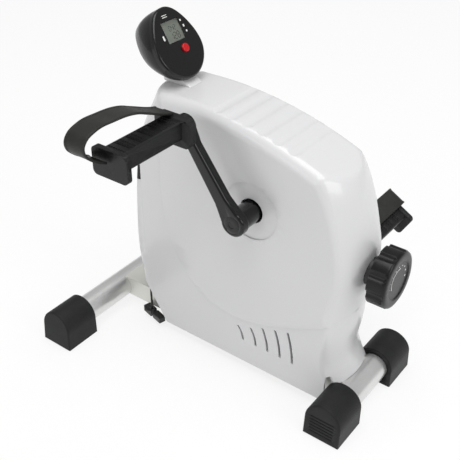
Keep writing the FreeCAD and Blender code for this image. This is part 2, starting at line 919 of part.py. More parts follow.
def pedal_body(name, side, axis, tilt):
    """A dog-bone pedal: a tread block round the spindle with a deeper flange at each end."""
    half = float(S.pedal_width) / 2
    top = float(S.pedal_top)
    inner = float(S.pedal_inner_y)
    outer = float(S.pedal_outer_y)
    length = outer - inner
    bottom = float(S.pedal_flange_bottom)
    rib = float(S.pedal_rib_bottom)
    tread_half = half - float(S.tread_step)
    tread_top = top - float(S.tread_drop)
    tread = Part.makeBox(2 * tread_half, length, tread_top + rib, Vector(-tread_half, inner, -rib))
    inner_flange = Part.makeBox(
        2 * half, float(S.pedal_inner_flange), top + bottom, Vector(-half, inner, -bottom)
    )
    outer_flange = Part.makeBox(
        2 * half,
        float(S.pedal_outer_flange),
        top + bottom,
        Vector(-half, outer - float(S.pedal_outer_flange), -bottom),
    )
    flanges = []
    for flange in (inner_flange, outer_flange):
        long_edges = [e for e in flange.Edges if e.BoundBox.YLength > 1]
        flanges.append(flange.makeFillet(6, long_edges))
    tread = tread.makeFillet(3, [e for e in tread.Edges if e.BoundBox.YLength > 20])
    barrel = Part.makeCylinder(float(S.pedal_barrel_d) / 2, length, Vector(0, inner, 0), AXIS_Y)
    solid = tread.fuse(flanges + [barrel]).removeSplitter()
    wide_bore = Part.makeCylinder(
        float(S.spindle_d) / 2 + float(S.run_gap), 31, Vector(0, inner - 0.5, 0), AXIS_Y
    )
    slim_bore = Part.makeCylinder(
        float(S.spindle_d) / 2 - 2 + float(S.run_gap), length - 11, Vector(0, inner, 0), AXIS_Y
    )
    solid = solid.cut([wide_bore, slim_bore])
    for count in range(5):
        y = inner + 22 + count * 17
        slot = Part.makeBox(2 * tread_half - 8, 2.0, 1.2, Vector(4 - tread_half, y, tread_top - 1.2))
        solid = solid.cut(slot)
    if side < 0:
        solid = solid.mirror(Vector(), AXIS_Y)
    return node(at(feature(name, solid), axis.x, 0, axis.z, Rotation(AXIS_Y, tilt)))


def pedal_strap(name, side, axis, tilt, centre_line):
    """A rubber band from the outer flange to the inner one, over the toes."""
    outer = float(S.pedal_outer_y)
    inner = float(S.pedal_inner_y)
    top = float(S.pedal_top)
    gap = 0.3
    thick = float(S.strap_thickness)
    points = [(outer + gap + thick / 2, top - 14)]
    points += [(outer + y, top + z) for y, z in centre_line]
    points.append((inner + 6, top + gap + thick / 2))
    curve = Part.BSplineCurve()
    edge_x = -float(S.pedal_width) / 2 - 4
    curve.interpolate([Vector(edge_x, y, z) for y, z in points])
    count = 40
    low, high = curve.FirstParameter, curve.LastParameter
    left, right = [], []
    for step in range(count + 1):
        t = low + (high - low) * step / count
        point = curve.value(t)
        tangent = curve.tangent(t)[0]
        normal = Vector(0, -tangent.z, tangent.y)
        left.append(point + normal * (thick / 2))
        right.append(point - normal * (thick / 2))
    one = Part.BSplineCurve()
    one.interpolate(left)
    two = Part.BSplineCurve()
    two.interpolate(right)
    edges = [
        one.toShape(),
        Part.makeLine(left[-1], right[-1]),
        two.toShape(),
        Part.makeLine(right[0], left[0]),
    ]
    face = Part.Face(Part.Wire(Part.__sortEdges__(edges)))
    width = float(S.strap_width)
    solid = face.extrude(Vector(width, 0, 0))
    if side < 0:
        solid = solid.mirror(Vector(), AXIS_Y)
    return node(at(feature(name, solid), axis.x, 0, axis.z, Rotation(AXIS_Y, tilt)))


# Each strap's way from the pedal's outer end: the left one stands open, the right one lies low.
OPEN_STRAP = [(22, -2), (31, 10), (29, 19.5), (14, 27.5), (-14, 28.5), (-46, 24.5), (-68, 16)]
OPEN_STRAP += [(-95, 5)]
LOW_STRAP = [(2.2, -10), (4, -4.5), (5.2, 1), (1, 6), (-14, 6.5), (-50, 5.5), (-80, 3.5)]
LEFT_TILT = 0.0
RIGHT_TILT = 30.0
for word, side, axis, tilt, strap_way in (
    ("left", -1, left_pedal_axis, LEFT_TILT, OPEN_STRAP),
    ("right", 1, right_pedal_axis, RIGHT_TILT, LOW_STRAP),
):
    pedal_spindle(word + "_pedal_spindle", side, axis)
    pedal_body(word + "_pedal", side, axis, tilt)
    pedal_strap(word + "_pedal_strap", side, axis, tilt, strap_way)

# ---------------------------------------------------------------- brake control


def tube_along(points, radius, corner_r, bore=0.0):
    """A round cable whose straight runs are joined by tangent arcs."""
    edges = []
    last = points[0]
    for before, corner, after in zip(points, points[1:], points[2:]):
        come = (corner - before).normalize()
        leave = (after - corner).normalize()
        turn = math.acos(max(-1.0, min(1.0, come.dot(leave))))
        reach = corner_r * math.tan(turn / 2)
        start = corner - come * reach
        end = corner + leave * reach
        inward = (leave - come).normalize()
        middle = corner + inward * (corner_r / math.cos(turn / 2) - corner_r)
        edges.append(Part.makeLine(last, start))
        edges.append(Part.Arc(start, middle, end).toShape())
        last = end
    edges.append(Part.makeLine(last, points[-1]))
    path = Part.Wire(edges)
    first = (points[1] - points[0]).normalize()

    def sweep(size):
        ring_wire = Part.Wire(Part.makeCircle(size, points[0], first))
        return path.makePipeShell([ring_wire], True, True)

    solid = sweep(radius)
    if bore:
        solid = solid.cut(sweep(bore))
    expected = math.pi * (radius**2 - bore**2) * path.Length
    if abs(solid.Volume - expected) > 0.02 * expected:
        raise RuntimeError("a cable has the wrong volume")
    return solid


def cable_point(x, z):
    return vector(x, S.cable_y, z)


cable_z = cable_end.z
stop_x = float(S.crank_x + S.post_length / 2)
cable_start = stop_x + 5
control_bottom = float(S.knob_z) - 16
node(
    feature(
        "brake_cable_sheath",
        tube_along(
            [
                cable_point(cable_start, cable_z),
                cable_point(S.control_x, cable_z),
                cable_point(S.control_x, control_bottom),
            ],
            float(S.cable_d) / 2,
            38,
            float(S.cable_wire_d) / 2 + 0.4,
        ),
    )
)
node(
    cylinder(
        "brake_cable_wire",
        S.cable_wire_d / 2,
        cable_start + 12 - cable_end.x - 0.5,
        cable_end.x + 0.5,
        S.cable_y,
        cable_z,
        ALONG_X,
    )
)


def cable_stop():
    """A folded tab on the upright that holds the end of the cable sheath."""
    leg_y = S.cable_y / 2 - 1
    leg = box("stop_leg", as_size(3), S.cable_y + 14, as_size(20), stop_x + 1.5, leg_y, cable_z - 10)
    plate = box("stop_plate", as_size(5), as_size(14), as_size(14), stop_x + 2.5, S.cable_y, cable_z - 7)
    hole = cylinder("stop_hole", S.cable_wire_d / 2 + 0.4, 30, stop_x - 5, S.cable_y, cable_z, ALONG_X)
    return node(without("cable_stop", joined("stop_blank", leg, plate), hole))


cable_stop()
spring_foot_x = pivot.x + 7
spring_contact = wheel_centre + Vector(
    math.cos(half_angle * 0.35), 0, -math.sin(half_angle * 0.35)
) * (shoe_outer_r + 0.3)
beam_top = float(S.beam_top_z)
leaf = [
    (spring_foot_x, beam_top),
    (spring_foot_x + 14, beam_top),
    (spring_foot_x + 14, beam_top + 1),
    (spring_foot_x + 5, beam_top + 1),
    (spring_contact.x + 5, spring_contact.z - 14),
    (spring_contact.x + 1, spring_contact.z + 3),
    (spring_contact.x, spring_contact.z),
    (spring_contact.x + 4, spring_contact.z - 15),
    (spring_foot_x + 4, beam_top + 1),
    (spring_foot_x, beam_top + 1),
]
leaf_solid = prism_y(leaf, 5)
leaf_solid.translate(Vector(0, middle_y - 8, 0))
node(feature("brake_return_spring", leaf_solid))

knob_back_x = S.knob_face_x - S.knob_depth
control_front_x = knob_back_x - 0.5
collar_back_x = S.control_x + 8
node(
    turned(
        "tension_collar",
        [
            (collar_back_x, S.control_shaft_d / 2 + S.run_gap),
            (control_front_x, S.control_shaft_d / 2 + S.run_gap),
            (control_front_x, S.collar_d / 2 - 1.5),
            (control_front_x - 1.5, S.collar_d / 2),
            (collar_back_x + 4, S.collar_d / 2),
            (collar_back_x + 4, S.collar_flange_d / 2),
            (collar_back_x, S.collar_flange_d / 2),
        ],
        as_size(0),
        as_size(0),
        S.knob_z,
        ALONG_X,
    )
)


def tension_controller():
    """The box behind the collar in which the drum winds the brake cable."""
    half = 15
    centre = vector(S.control_x, 0, S.knob_z)
    outer = Part.makeBox(16, 2 * half, 2 * half, centre + Vector(-8, -half, -half))
    outer = outer.makeFillet(3, [e for e in outer.Edges if e.BoundBox.XLength > 1])
    drum_room = Part.makeCylinder(11.3, 12, centre + Vector(-6, 0, 0), AXIS_X)
    shaft_hole = Part.makeCylinder(
        float(S.control_shaft_d / 2 + S.run_gap), 20, centre, AXIS_X
    )
    wire_hole = Part.makeCylinder(
        float(S.cable_wire_d) / 2 + 0.4, 30, centre + vector(0, S.cable_y, -30), AXIS_Z
    )
    gland = Part.makeCylinder(5, 4, centre + vector(0, S.cable_y, -16 + 1), AXIS_Z)
    return node(
        feature("tension_controller", outer.fuse(gland).cut([drum_room, shaft_hole, wire_hole]))
    )


tension_controller()


def control_shaft():
    """The shaft that the knob turns, with its cable drum."""
    drum = [
        (S.control_x - 5, 0),
        (S.knob_face_x - 8, 0),
        (S.knob_face_x - 8, S.control_shaft_d / 2),
        (S.control_x + 5, S.control_shaft_d / 2),
        (S.control_x + 5, 11),
        (S.control_x + 3, 11),
        (S.control_x + 3, 9),
        (S.control_x - 3, 9),
        (S.control_x - 3, 11),
        (S.control_x - 5, 11),
    ]
    return node(turned("control_shaft", drum, as_size(0), as_size(0), S.knob_z, ALONG_X))


control_shaft()


def tension_knob():
    """A hollow knob with grip pads round its skirt and a dished face."""
    radius = float(S.knob_r)
    depth = float(S.knob_depth)
    face_x = float(S.knob_face_x)
    wall = float(S.knob_skirt_wall)
    shaft = float(S.control_shaft_d) / 2
    outline = [
        (face_x - depth, radius - wall),
        (face_x - depth, radius),
        (face_x - 5, radius),
        (face_x - 1.5, radius - 1.6),
        (face_x, radius - 5),
        (face_x, radius - 11),
        (face_x - 1.6, radius - 13),
        (face_x - 1.6, 0),
        (face_x - 8, 0),
        (face_x - 8, shaft),
        (face_x - depth + 2, shaft),
        (face_x - depth + 2, shaft + 5),
        (face_x - 6, shaft + 5),
        (face_x - 6, radius - wall - 2),
    ]
    points = [Vector(x, 0, r) for x, r in outline]
    solid = Part.Face(Part.makePolygon(points + points[:1])).revolve(Vector(), AXIS_X, 360)
    grooves = []
    for count in range(9):
        centre = Vector(face_x - depth - 1, 0, radius + 5.0)
        groove = Part.makeCylinder(7.6, depth - 5, centre, AXIS_X)
        tip = Part.makeSphere(7.6, centre + Vector(depth - 5, 0, 0))
        groove = groove.fuse(tip)
        groove.rotate(Vector(), AXIS_X, 40 * count + 20)
        grooves.append(groove)
    solid = solid.cut(grooves)
    return node(at(feature("tension_knob", solid), 0, 0, S.knob_z))


tension_knob()

# ---------------------------------------------------------------- housing

# Reach of the front and rear of the housing at each height.
UPPER_FRONT = [(50, 182), (110, 183), (150, 187), (172, 192.5), (218, 197.5), (247, 193), (277, 186)]
UPPER_FRONT += [(296, 178.5), (316, 170), (334, 160), (390, 122)]
LOWER_FRONT = [(5, 184), (60, 184), (110, 184), (145, 185.5), (170, 188), (218, 192.5), (247, 189)]
LOWER_FRONT += [(277, 182), (296, 174.5), (316, 166), (334, 156), (390, 118)]
REAR = [(5, -151), (95, -157), (147, -160), (210, -157.5), (258, -152.5), (300, -144.5)]
REAR += [(330, -131), (362, -114), (390, -97)]
WALL_LEVELS = [5, 60, 110, 150, 185, 218, 250, 285, 320, 355, 390]
TOP_LEVEL_Z = 374.0
TOP_BEND_X = -73.0
TOP_END_X = 200.0
BULGE_EDGE = [(-80, 400), (-91, 250), (-70, 150), (-25, 98), (27, 85), (106, 104)]
BULGE_EDGE += [(160, 130), (240, 190)]


def between(table, z):
    """Reads a height table with straight lines between its rows."""
    for (low_z, low_x), (high_z, high_x) in zip(table, table[1:]):
        if low_z <= z <= high_z:
            return low_x + (high_x - low_x) * (z - low_z) / (high_z - low_z)
    raise ValueError("height outside the table")


def plan_wire(z, front, rear, half, inset):
    """The housing's plan at one height: two flat sides and two round ends."""
    front_r = float(S.front_round_r) - inset
    rear_r = float(S.rear_round_r) - inset
    half = half - inset
    front = front - inset
    rear = rear + inset
    front_x = front - front_r + math.sqrt(front_r**2 - half**2)
    back_x = rear + rear_r - math.sqrt(rear_r**2 - half**2)
    corners = [
        Vector(front_x, -half, z),
        Vector(front_x, half, z),
        Vector(back_x, half, z),
        Vector(back_x, -half, z),
    ]
    return Part.Wire(
        [
            Part.Arc(corners[0], Vector(front, 0, z), corners[1]).toShape(),
            Part.makeLine(corners[1], corners[2]),
            Part.Arc(corners[2], Vector(rear, 0, z), corners[3]).toShape(),
            Part.makeLine(corners[3], corners[0]),
        ]
    )


def under_top(inset):
    """Everything below the housing's sloping top."""
    drop = inset
    start = Vector(TOP_BEND_X, -300, TOP_LEVEL_Z - drop)
    middle = Vector(20, -300, 369.0 - drop)
    arch = Part.Circle(start, middle, Vector(137, -300, 338.0 - drop))
    across = TOP_END_X - arch.Center.x
    fall = math.sqrt(arch.Radius**2 - across**2)
    slope = Vector(TOP_END_X, -300, arch.Center.z + fall)
    corners = [Vector(TOP_END_X, -300, -50), Vector(-300, -300, -50)]
    corners.append(Vector(-300, -300, TOP_LEVEL_Z - drop))
    edges = [
        Part.Arc(start, middle, slope).toShape(),
        Part.makeLine(slope, corners[0]),
        Part.makeLine(corners[0], corners[1]),
        Part.makeLine(corners[1], corners[2]),
        Part.makeLine(corners[2], start),
    ]
    return Part.Face(Part.Wire(edges)).extrude(Vector(0, 600, 0))


def walls(front_table, low_z, half, inset):
    levels = [z for z in WALL_LEVELS if z >= low_z]
    wires = [
        plan_wire(z, between(front_table, z), between(REAR, z), half, inset) for z in levels
    ]
    return Part.makeLoft(wires, True, False)


def round_over(solid, radius, wanted):
    edges = [e for e in solid.Edges if wanted(e)]
    return solid.makeFillet(radius, edges)


def on_side(edge, half):
    box_ = edge.BoundBox
    return abs(abs(box_.Center.y) - half) < 0.3 and box_.YLength < 0.6


def lower_form(inset):
    half = float(S.half_width) - 2.5
    solid = walls(LOWER_FRONT, 5, half, inset).common(under_top(inset))
    half = half - inset
    radius = float(S.side_fillet) - inset
    return round_over(solid, radius, lambda e: on_side(e, half) or e.BoundBox.ZMin > 300)


def bulge_form():
    half = float(S.half_width)
    edge = smooth_wire([(x, -300, z) for x, z in BULGE_EDGE])
    ends = [Vector(BULGE_EDGE[-1][0], -300, BULGE_EDGE[-1][1])]
    ends += [Vector(260, -300, 190), Vector(260, -300, 420), Vector(-80, -300, 420)]
    ends += [Vector(BULGE_EDGE[0][0], -300, BULGE_EDGE[0][1])]
    lines = [Part.makeLine(a, b) for a, b in zip(ends, ends[1:])]
    region = Part.Face(Part.Wire([edge] + lines)).extrude(Vector(0, 600, 0))
    solid = walls(UPPER_FRONT, 60, half, 0).common(under_top(0)).common(region)
    crease = [e for e in solid.Edges if on_side(e, half) and e.BoundBox.ZMin < 120]
    crease = [e for e in crease if e.BoundBox.ZLength > 200 and e.BoundBox.XLength > 200]
    solid = solid.makeChamfer(2.4, crease)
    rounded = [
        e
        for e in solid.Edges
        if (on_side(e, half) and e.BoundBox.ZMax > 330 and e.BoundBox.ZMin > 100)
        or (e.BoundBox.XMin > 120 and e.BoundBox.ZMin > 310 and e.BoundBox.YLength > 50)
    ]
    return solid.makeFillet(float(S.corner_fillet), rounded)



SCREW_PLACES = [(-142, 285), (-62, 352), (146, 306), (170, 128), (116, 66), (-112, 72)]
VENT_TOPS = [(36.3, 72.2), (57.0, 77.9), (75.9, 86.5), (95.5, 93.0), (114.6, 98.9)]
VENT_LEAN = 9.0
LEAD_X = -81.5
LEAD_Y = 15.5
GRIP_X = -144.0
GRIP_Y = 57.0
REAR_CUT = [(-147, 100), (-91, 10), (-91, -20), (-220, -20), (-220, 100)]


def grip_channel(radius, low, high, side):
    """A long scoop down the rear corner: a leaning cylinder with round ends."""
    foot = Vector(GRIP_X + 4, side * GRIP_Y, low)
    head = Vector(GRIP_X + 4, side * GRIP_Y, high)
    solid = Part.makeCylinder(radius, high - low, foot, AXIS_Z)
    return solid.fuse([Part.makeSphere(radius, foot), Part.makeSphere(radius, head)])


def vent_slot(top, side):
    """A slightly curved upright slot."""
    low = Vector(top[0] + VENT_LEAN, 0, float(S.vent_bottom_z))
    high = Vector(top[0], 0, top[1])
    middle = (low + high) * 0.5 + Vector(1.6, 0, 0.6)
    width = float(S.vent_width)
    right = Part.Arc(low, middle, high).toShape()
    shift = Vector(-width, 0, 0)
    left = Part.Arc(high + shift, middle + shift, low + shift).toShape()
    ends = [Part.makeLine(high, high + shift), Part.makeLine(low + shift, low)]
    face = Part.Face(Part.Wire([right, ends[0], left, ends[1]]))
    slot = face.extrude(Vector(0, 30, 0))
    slot.translate(Vector(0, -15 + side * (float(S.half_width) - 4), 0))
    return slot


FLUTE_START_X = -4.0


def capsule_y(radius, half):
    """A bar along Y with round ends, in one piece, so that it cuts without slivers."""
    low, high = Vector(0, -half - radius, 0), Vector(0, half + radius, 0)
    lean = radius * math.sqrt(0.5)
    start, end = Vector(radius, -half, 0), Vector(radius, half, 0)
    edges = [
        Part.Arc(low, Vector(lean, -half - lean, 0), start).toShape(),
        Part.makeLine(start, end),
        Part.Arc(end, Vector(lean, half + lean, 0), high).toShape(),
        Part.makeLine(high, low),
    ]
    return Part.Face(Part.Wire(edges)).revolve(Vector(), AXIS_Y, 360)


def flutes():
    """Shallow channels across the top, with round ends near its edges."""
    cuts = []
    arch = Part.Circle(
        Vector(TOP_BEND_X, 0, TOP_LEVEL_Z), Vector(20, 0, 369.0), Vector(137, 0, 338.0)
    )
    radius = float(S.flute_r)
    lift = radius - float(S.flute_depth)
    half = float(S.flute_half)
    for count in range(6):
        x = FLUTE_START_X + float(S.flute_pitch) * count
        z = arch.Center.z + math.sqrt(arch.Radius**2 - (x - arch.Center.x) ** 2)
        outward = (Vector(x, 0, z) - arch.Center).normalize()
        centre = Vector(x, 0, z) + outward * lift
        channel = capsule_y(radius, half)
        channel.translate(centre)
        cuts.append(channel)
    return cuts




def housing():
    """Both halves of the moulded casing, split on the middle plane."""
    wall = float(S.wall)
    half = float(S.half_width)
    beam_half = float(S.beam_width) / 2
    outer = lower_form(0).fuse(bulge_form())
    cavity = lower_form(wall)
    screw_r = float(S.screw_d) / 2
    boss_r = float(S.boss_d) / 2
    grips = []
    backs = []
    for side in (-1, 1):
        low, high = float(S.grip_low_z), float(S.grip_high_z)
        grips.append(grip_channel(float(S.grip_r), low, high, side))
        backs.append(grip_channel(float(S.grip_r) + wall, low, high, side))
    posts = [
        Part.makeCylinder(boss_r, 2 * half, Vector(x, -half, z), AXIS_Y) for x, z in SCREW_PLACES
    ]
    pad = Part.makeCylinder(
        float(S.crank_ring_r) + wall, wall + 2.5, crank_centre + Vector(0, -half, 0), AXIS_Y
    )
    far_pad = pad.mirror(Vector(), AXIS_Y)
    cavity = cavity.cut(backs + posts + [pad, far_pad])
    shell = outer.cut(cavity)
    ring_r = float(S.crank_ring_r)
    hole_r = float(S.crank_hole_r)
    ring_depth = float(S.crank_ring_depth)
    cuts = list(grips)
    for side in (-1, 1):
        start = Vector(0, side * half, 0)
        ring_cut = Part.makeCylinder(
            ring_r, 2 * ring_depth, crank_centre + start - AXIS_Y * ring_depth, AXIS_Y
        )
        cuts.append(ring_cut)
        cuts += [vent_slot(top, side) for top in VENT_TOPS]
    cuts.append(Part.makeCylinder(hole_r, 4 * half, crank_centre - AXIS_Y * 2 * half, AXIS_Y))
    bottom = float(S.skirt_bottom_z)
    cuts.append(Part.makeBox(600, 600, 40 + bottom, Vector(-300, -300, -40)))
    cuts.append(prism_y(REAR_CUT, 200))
    notch = 60 + beam_top + 0.3
    cuts.append(Part.makeBox(80, 2 * beam_half + 10, notch, Vector(140, -beam_half - 5, -60)))
    cuts.append(Part.makeBox(120, 2 * beam_half + 0.6, notch, Vector(-220, -beam_half - 0.3, -60)))
    cuts.append(
        Part.makeCylinder(float(S.collar_d) / 2 + 0.3, 60, vector(160, 0, S.knob_z), AXIS_X)
    )
    foot_clear = Part.makeCylinder(
        float(tube_r) + 0.5, 200, vector(front_x, -100, S.tube_axis_z), AXIS_Y
    )
    cuts.append(foot_clear)
    clear = 0.5
    cap_start_x = float(front_x - S.cap_width / 2) - clear
    cap_start_y = float(S.front_foot_span / 2 - S.cap_reach) - clear
    for side in (-1, 1):
        corner = Vector(cap_start_x, cap_start_y if side > 0 else -cap_start_y - 50, -10)
        cuts.append(Part.makeBox(80, 50, float(cap_top) + clear + 10, corner))
    cuts += flutes()
    cuts += [
        Part.makeCylinder(screw_r, half + 22, Vector(x, -22, z), AXIS_Y) for x, z in SCREW_PLACES
    ]
    head_r = float(S.screw_head_d) / 2 + 0.3
    cuts += [
        Part.makeCylinder(head_r, half, Vector(x, 12, z), AXIS_Y) for x, z in SCREW_PLACES
    ]
    cuts.append(Part.makeCylinder(float(S.lead_d), 60, Vector(LEAD_X, LEAD_Y, 340), AXIS_Z))
    shell = shell.cut(cuts)
    left = shell.common(Part.makeBox(800, 400, 800, Vector(-400, -400, -100)))
    right = shell.common(Part.makeBox(800, 400, 800, Vector(-400, 0, -100)))
    node(feature("left_housing", largest(left)))
    node(feature("right_housing", largest(right)))
    return outer


def largest(shape):
    """The main solid, without any sliver that the cuts leave on the top's edge."""
    return max(shape.Solids, key=lambda solid: solid.Volume)


casing = housing()


def grip_pads():
    """A dark rubber pad fills the upper end of each scoop."""
    high = float(S.grip_high_z)
    for word, side in (("left", -1), ("right", 1)):
        channel = grip_channel(float(S.grip_r) - 0.1, float(S.grip_low_z), high, side)
        face = [
            (GRIP_X - 40, high - 46),
            (GRIP_X + 60, high - 2),
            (GRIP_X + 60, high + 60),
            (GRIP_X - 40, high + 60),
        ]
        hollow = grip_channel(float(S.grip_r) - 3.0, float(S.grip_low_z), high, side)
        pad = channel.cut(hollow).common(prism_y(face, 200)).common(casing)
        node(feature(word + "_grip_pad", largest(pad)))


grip_pads()


def housing_screws():
    """Long pan-head screws driven from the right side into the left half."""
    screws = []
    for x, z in SCREW_PLACES:
        shank = Part.makeCylinder(float(S.screw_d) / 2, 32, Vector(x, -20, z), AXIS_Y)
        head = Part.makeCylinder(float(S.screw_head_d) / 2, 2.6, Vector(x, 12, z), AXIS_Y)
        head = head.makeFillet(0.9, [head.Edges[0]])
        slot = Part.makeBox(4.6, 1.2, 1.0, Vector(x - 2.3, 13.4, z - 0.5))
        slot = slot.fuse(Part.makeBox(1.0, 1.2, 4.6, Vector(x - 0.5, 13.4, z - 2.3)))
        screws.append(shank.fuse(head).cut(slot))
    return node(feature("housing_screws", Part.makeCompound(screws)))


housing_screws()

# ---------------------------------------------------------------- console

pod_tilt = math.radians(float(S.pod_tilt))
pod_out = Vector(math.cos(pod_tilt), 0, math.sin(pod_tilt))
pod_up = Vector(-math.sin(pod_tilt), 0, math.cos(pod_tilt))
pod_turn = Rotation(AXIS_Y, pod_up, pod_out, "ZXY")
pod_centre = vector(S.pod_x, 0, S.pod_z)
POD_RIM = [(0, 31), (14, 27.5), (25.5, 16.5), (34, 2), (39.5, -15), (39.5, -29), (33, -43), (19, -55)]
POD_RIM += [(0, -60)]
POD_MIDDLE_V = -12.0


def on_pod(name, shape):
    """Sets a part drawn on the console's own face: X to the right, Y up it, Z out of it."""
    return at(feature(name, shape), pod_centre.x, 0, pod_centre.z, pod_turn)


def pod_wire(level, share=1.0, inset=0.0, slope=0.0):
    """The egg-shaped rim of the console at one depth below its face, deeper towards its top."""
    points = POD_RIM + [(-u, v) for u, v in reversed(POD_RIM[1:-1])]
    placed = []
    for u, v in points:
        out = Vector(u, v - POD_MIDDLE_V, 0)
        reach = out.Length
        out = out * ((reach * share - inset) / reach)
        placed.append((out.x, out.y + POD_MIDDLE_V, level - out.y * slope))
    return Part.Wire(smooth_wire(placed, True))


def pod_slab(low, high, inset=0.0):
    return Part.Face(pod_wire(low, 1.0, inset)).extrude(Vector(0, 0, high - low))


bezel = float(S.bezel_depth)
pod_depth = float(S.pod_depth)
pod_wall = 2.0
window_w = float(S.window_width)
window_h = float(S.window_height)
button_u = float(S.button_u)


def centred_box(width, height, low, high, v=0.0, u=0.0):
    return Part.makeBox(width, height, high - low, Vector(u - width / 2, v - height / 2, low))


def console_front():
    shell = pod_slab(-bezel, 0)
    shell = shell.makeFillet(3.5, [e for e in shell.Edges if e.BoundBox.ZMin > -0.01])
    shell = shell.cut(pod_slab(-bezel - 1, -pod_wall, pod_wall))
    window = centred_box(window_w, window_h, -10, 10)
    hole = Part.makeCylinder(
        float(S.button_r) + 0.3, 20, Vector(button_u, float(S.button_v), -10), AXIS_Z
    )
    return node(on_pod("console_front_cover", shell.cut([window, hole])))


def rear_dome(inset):
    """The domed back of the pod, widest at the bezel."""
    slope = float(S.pod_rear_slope)
    wires = [
        pod_wire(-bezel, 1.0, inset),
        pod_wire(-bezel - (pod_depth - bezel) * 0.6, 0.965, inset, slope * 0.6),
        pod_wire(-pod_depth + inset, 0.84, inset, slope),
    ]
    return Part.makeLoft(wires, True, False)


travel = float(S.button_travel)
button_skirt = 1.0
button_low = -pod_wall - 0.3 - button_skirt
door_v = POD_MIDDLE_V + 12
door_w = float(S.cell_length) + 3
door_h = float(S.cell_d) + 3


def back_plate(width, height, low, high):
    """A plate square to the pod's sloping back, between two heights inside its surface."""
    slope = float(S.pod_rear_slope)
    inward = Vector(0, slope, 1).normalize()
    up = inward.cross(AXIS_X)
    middle = Vector(0, door_v, -pod_depth - slope * (door_v - POD_MIDDLE_V)) + inward * low
    corners = []
    for across, rise in ((-1, -1), (1, -1), (1, 1), (-1, 1), (-1, -1)):
        corners.append(middle + AXIS_X * (across * width / 2) + up * (rise * height / 2))
    return Part.Face(Part.makePolygon(corners)).extrude(inward * (high - low))


def console_rear():
    shell = rear_dome(0).cut(rear_dome(pod_wall))
    opening = back_plate(door_w, door_h, -5, 5)
    lead = Part.makeCylinder(float(S.lead_d) / 2 + 0.2, 60, lead_end - AXIS_Z * 40, AXIS_Z)
    lead.Placement = Placement(pod_centre, pod_turn).inverse().multiply(lead.Placement)
    return node(on_pod("console_rear_cover", shell.cut([opening, lead])))


lead_end = Vector(LEAD_X, LEAD_Y, 394.0)
console_front()
console_rear()
gap = 0.1
node(on_pod("battery_door", back_plate(door_w - 2 * gap, door_h - 2 * gap, 0, 1.8)))
node(
    on_pod(
        "display_window",
        centred_box(window_w - 2 * gap, window_h - 2 * gap, -1.6, -0.5).fuse(
            centred_box(window_w + 6, window_h + 6, -3.4, -pod_wall)
        ).fuse(centred_box(window_w - 2 * gap, window_h - 2 * gap, -2.5, -1.0)),
    )
)
node(on_pod("display_panel", centred_box(window_w + 2, window_h + 2, -5.4, -3.4)))
board_top = -bezel + 1.0


def console_board():
    """The circuit board, with a carrier for the display and a switch under the button."""
    board = centred_box(46, 54, board_top - 1.6, board_top, POD_MIDDLE_V - 3)
    carrier = centred_box(window_w, window_h, board_top, -5.4)
    switch = centred_box(6, 6, board_top, button_low - travel - 0.1, float(S.button_v), button_u)
    clips = [centred_box(door_w - 8, 2, board_top - 8, board_top - 1.6, door_v + k) for k in (-8, 8)]
    return node(on_pod("console_board", board.fuse([carrier, switch] + clips)))


console_board()


def mode_button():
    radius = float(S.button_r)
    v = float(S.button_v)
    low = button_low + button_skirt
    crown = Part.makeCylinder(radius, 1.6 + travel - low, Vector(button_u, v, low), AXIS_Z)
    crown = crown.makeFillet(1.4, [e for e in crown.Edges if e.BoundBox.ZMin > 1.0])
    skirt = Part.makeCylinder(radius + 1.6, button_skirt, Vector(button_u, v, button_low), AXIS_Z)
    return node(on_pod("mode_button", crown.fuse(skirt)))


mode_button()
cell_z = board_top - 1.6 - float(S.cell_d) / 2 - 0.4
cell = Part.makeCylinder(
    float(S.cell_d) / 2, float(S.cell_length), Vector(-float(S.cell_length) / 2, door_v, cell_z), AXIS_X
)
node(on_pod("console_cell", cell))


def console_neck():
    """The short pedestal between the casing's top and the back of the pod."""
    back = pod_centre - pod_out * float(S.neck_depth)
    high = back + pod_up * -8
    foot_z = TOP_LEVEL_Z + 0.3
    outline = [
        (-110, foot_z),
        (-66, foot_z),
        (-80, foot_z + 7.7),
        (high.x, high.z),
        (-113, foot_z + 16),
    ]
    solid = prism_y(outline, float(S.neck_width) / 2)
    corners = [e for e in solid.Edges if on_side(e, float(S.neck_width) / 2)]
    solid = solid.makeFillet(4, [e for e in corners if e.CenterOfMass.x < -108])
    dome = rear_dome(0)
    dome.Placement = Placement(pod_centre, pod_turn)
    return node(feature("console_neck", solid.cut(dome)))


console_neck()

# ---------------------------------------------------------------- speed sensor and leads

sensor_x = float(S.crank_x) - 4
sensor_z = float(S.crank_z) - 52
post_side = float(S.post_y + S.post_width / 2)
node(box("speed_sensor", as_size(14), as_size(9), as_size(20), sensor_x, post_side + 4.5, sensor_z - 10))
node(
    cylinder(
        "sensor_magnet",
        S.sensor_magnet_d / 2,
        as_size(5),
        S.crank_x,
        S.pulley_y - 2 - 5,
        S.crank_z - 50,
        ALONG_Y,
    )
)
node(
    feature(
        "sensor_lead",
        tube_along(
            [
                Vector(sensor_x - 7, post_side + 5, sensor_z),
                Vector(sensor_x - 32, post_side + 5, sensor_z),
                Vector(10, 7, 226),
                Vector(-62, 4, 322),
                Vector(LEAD_X, LEAD_Y, 348),
                lead_end,
            ],
            float(S.lead_d) / 2,
            12,
        ),
    )
)


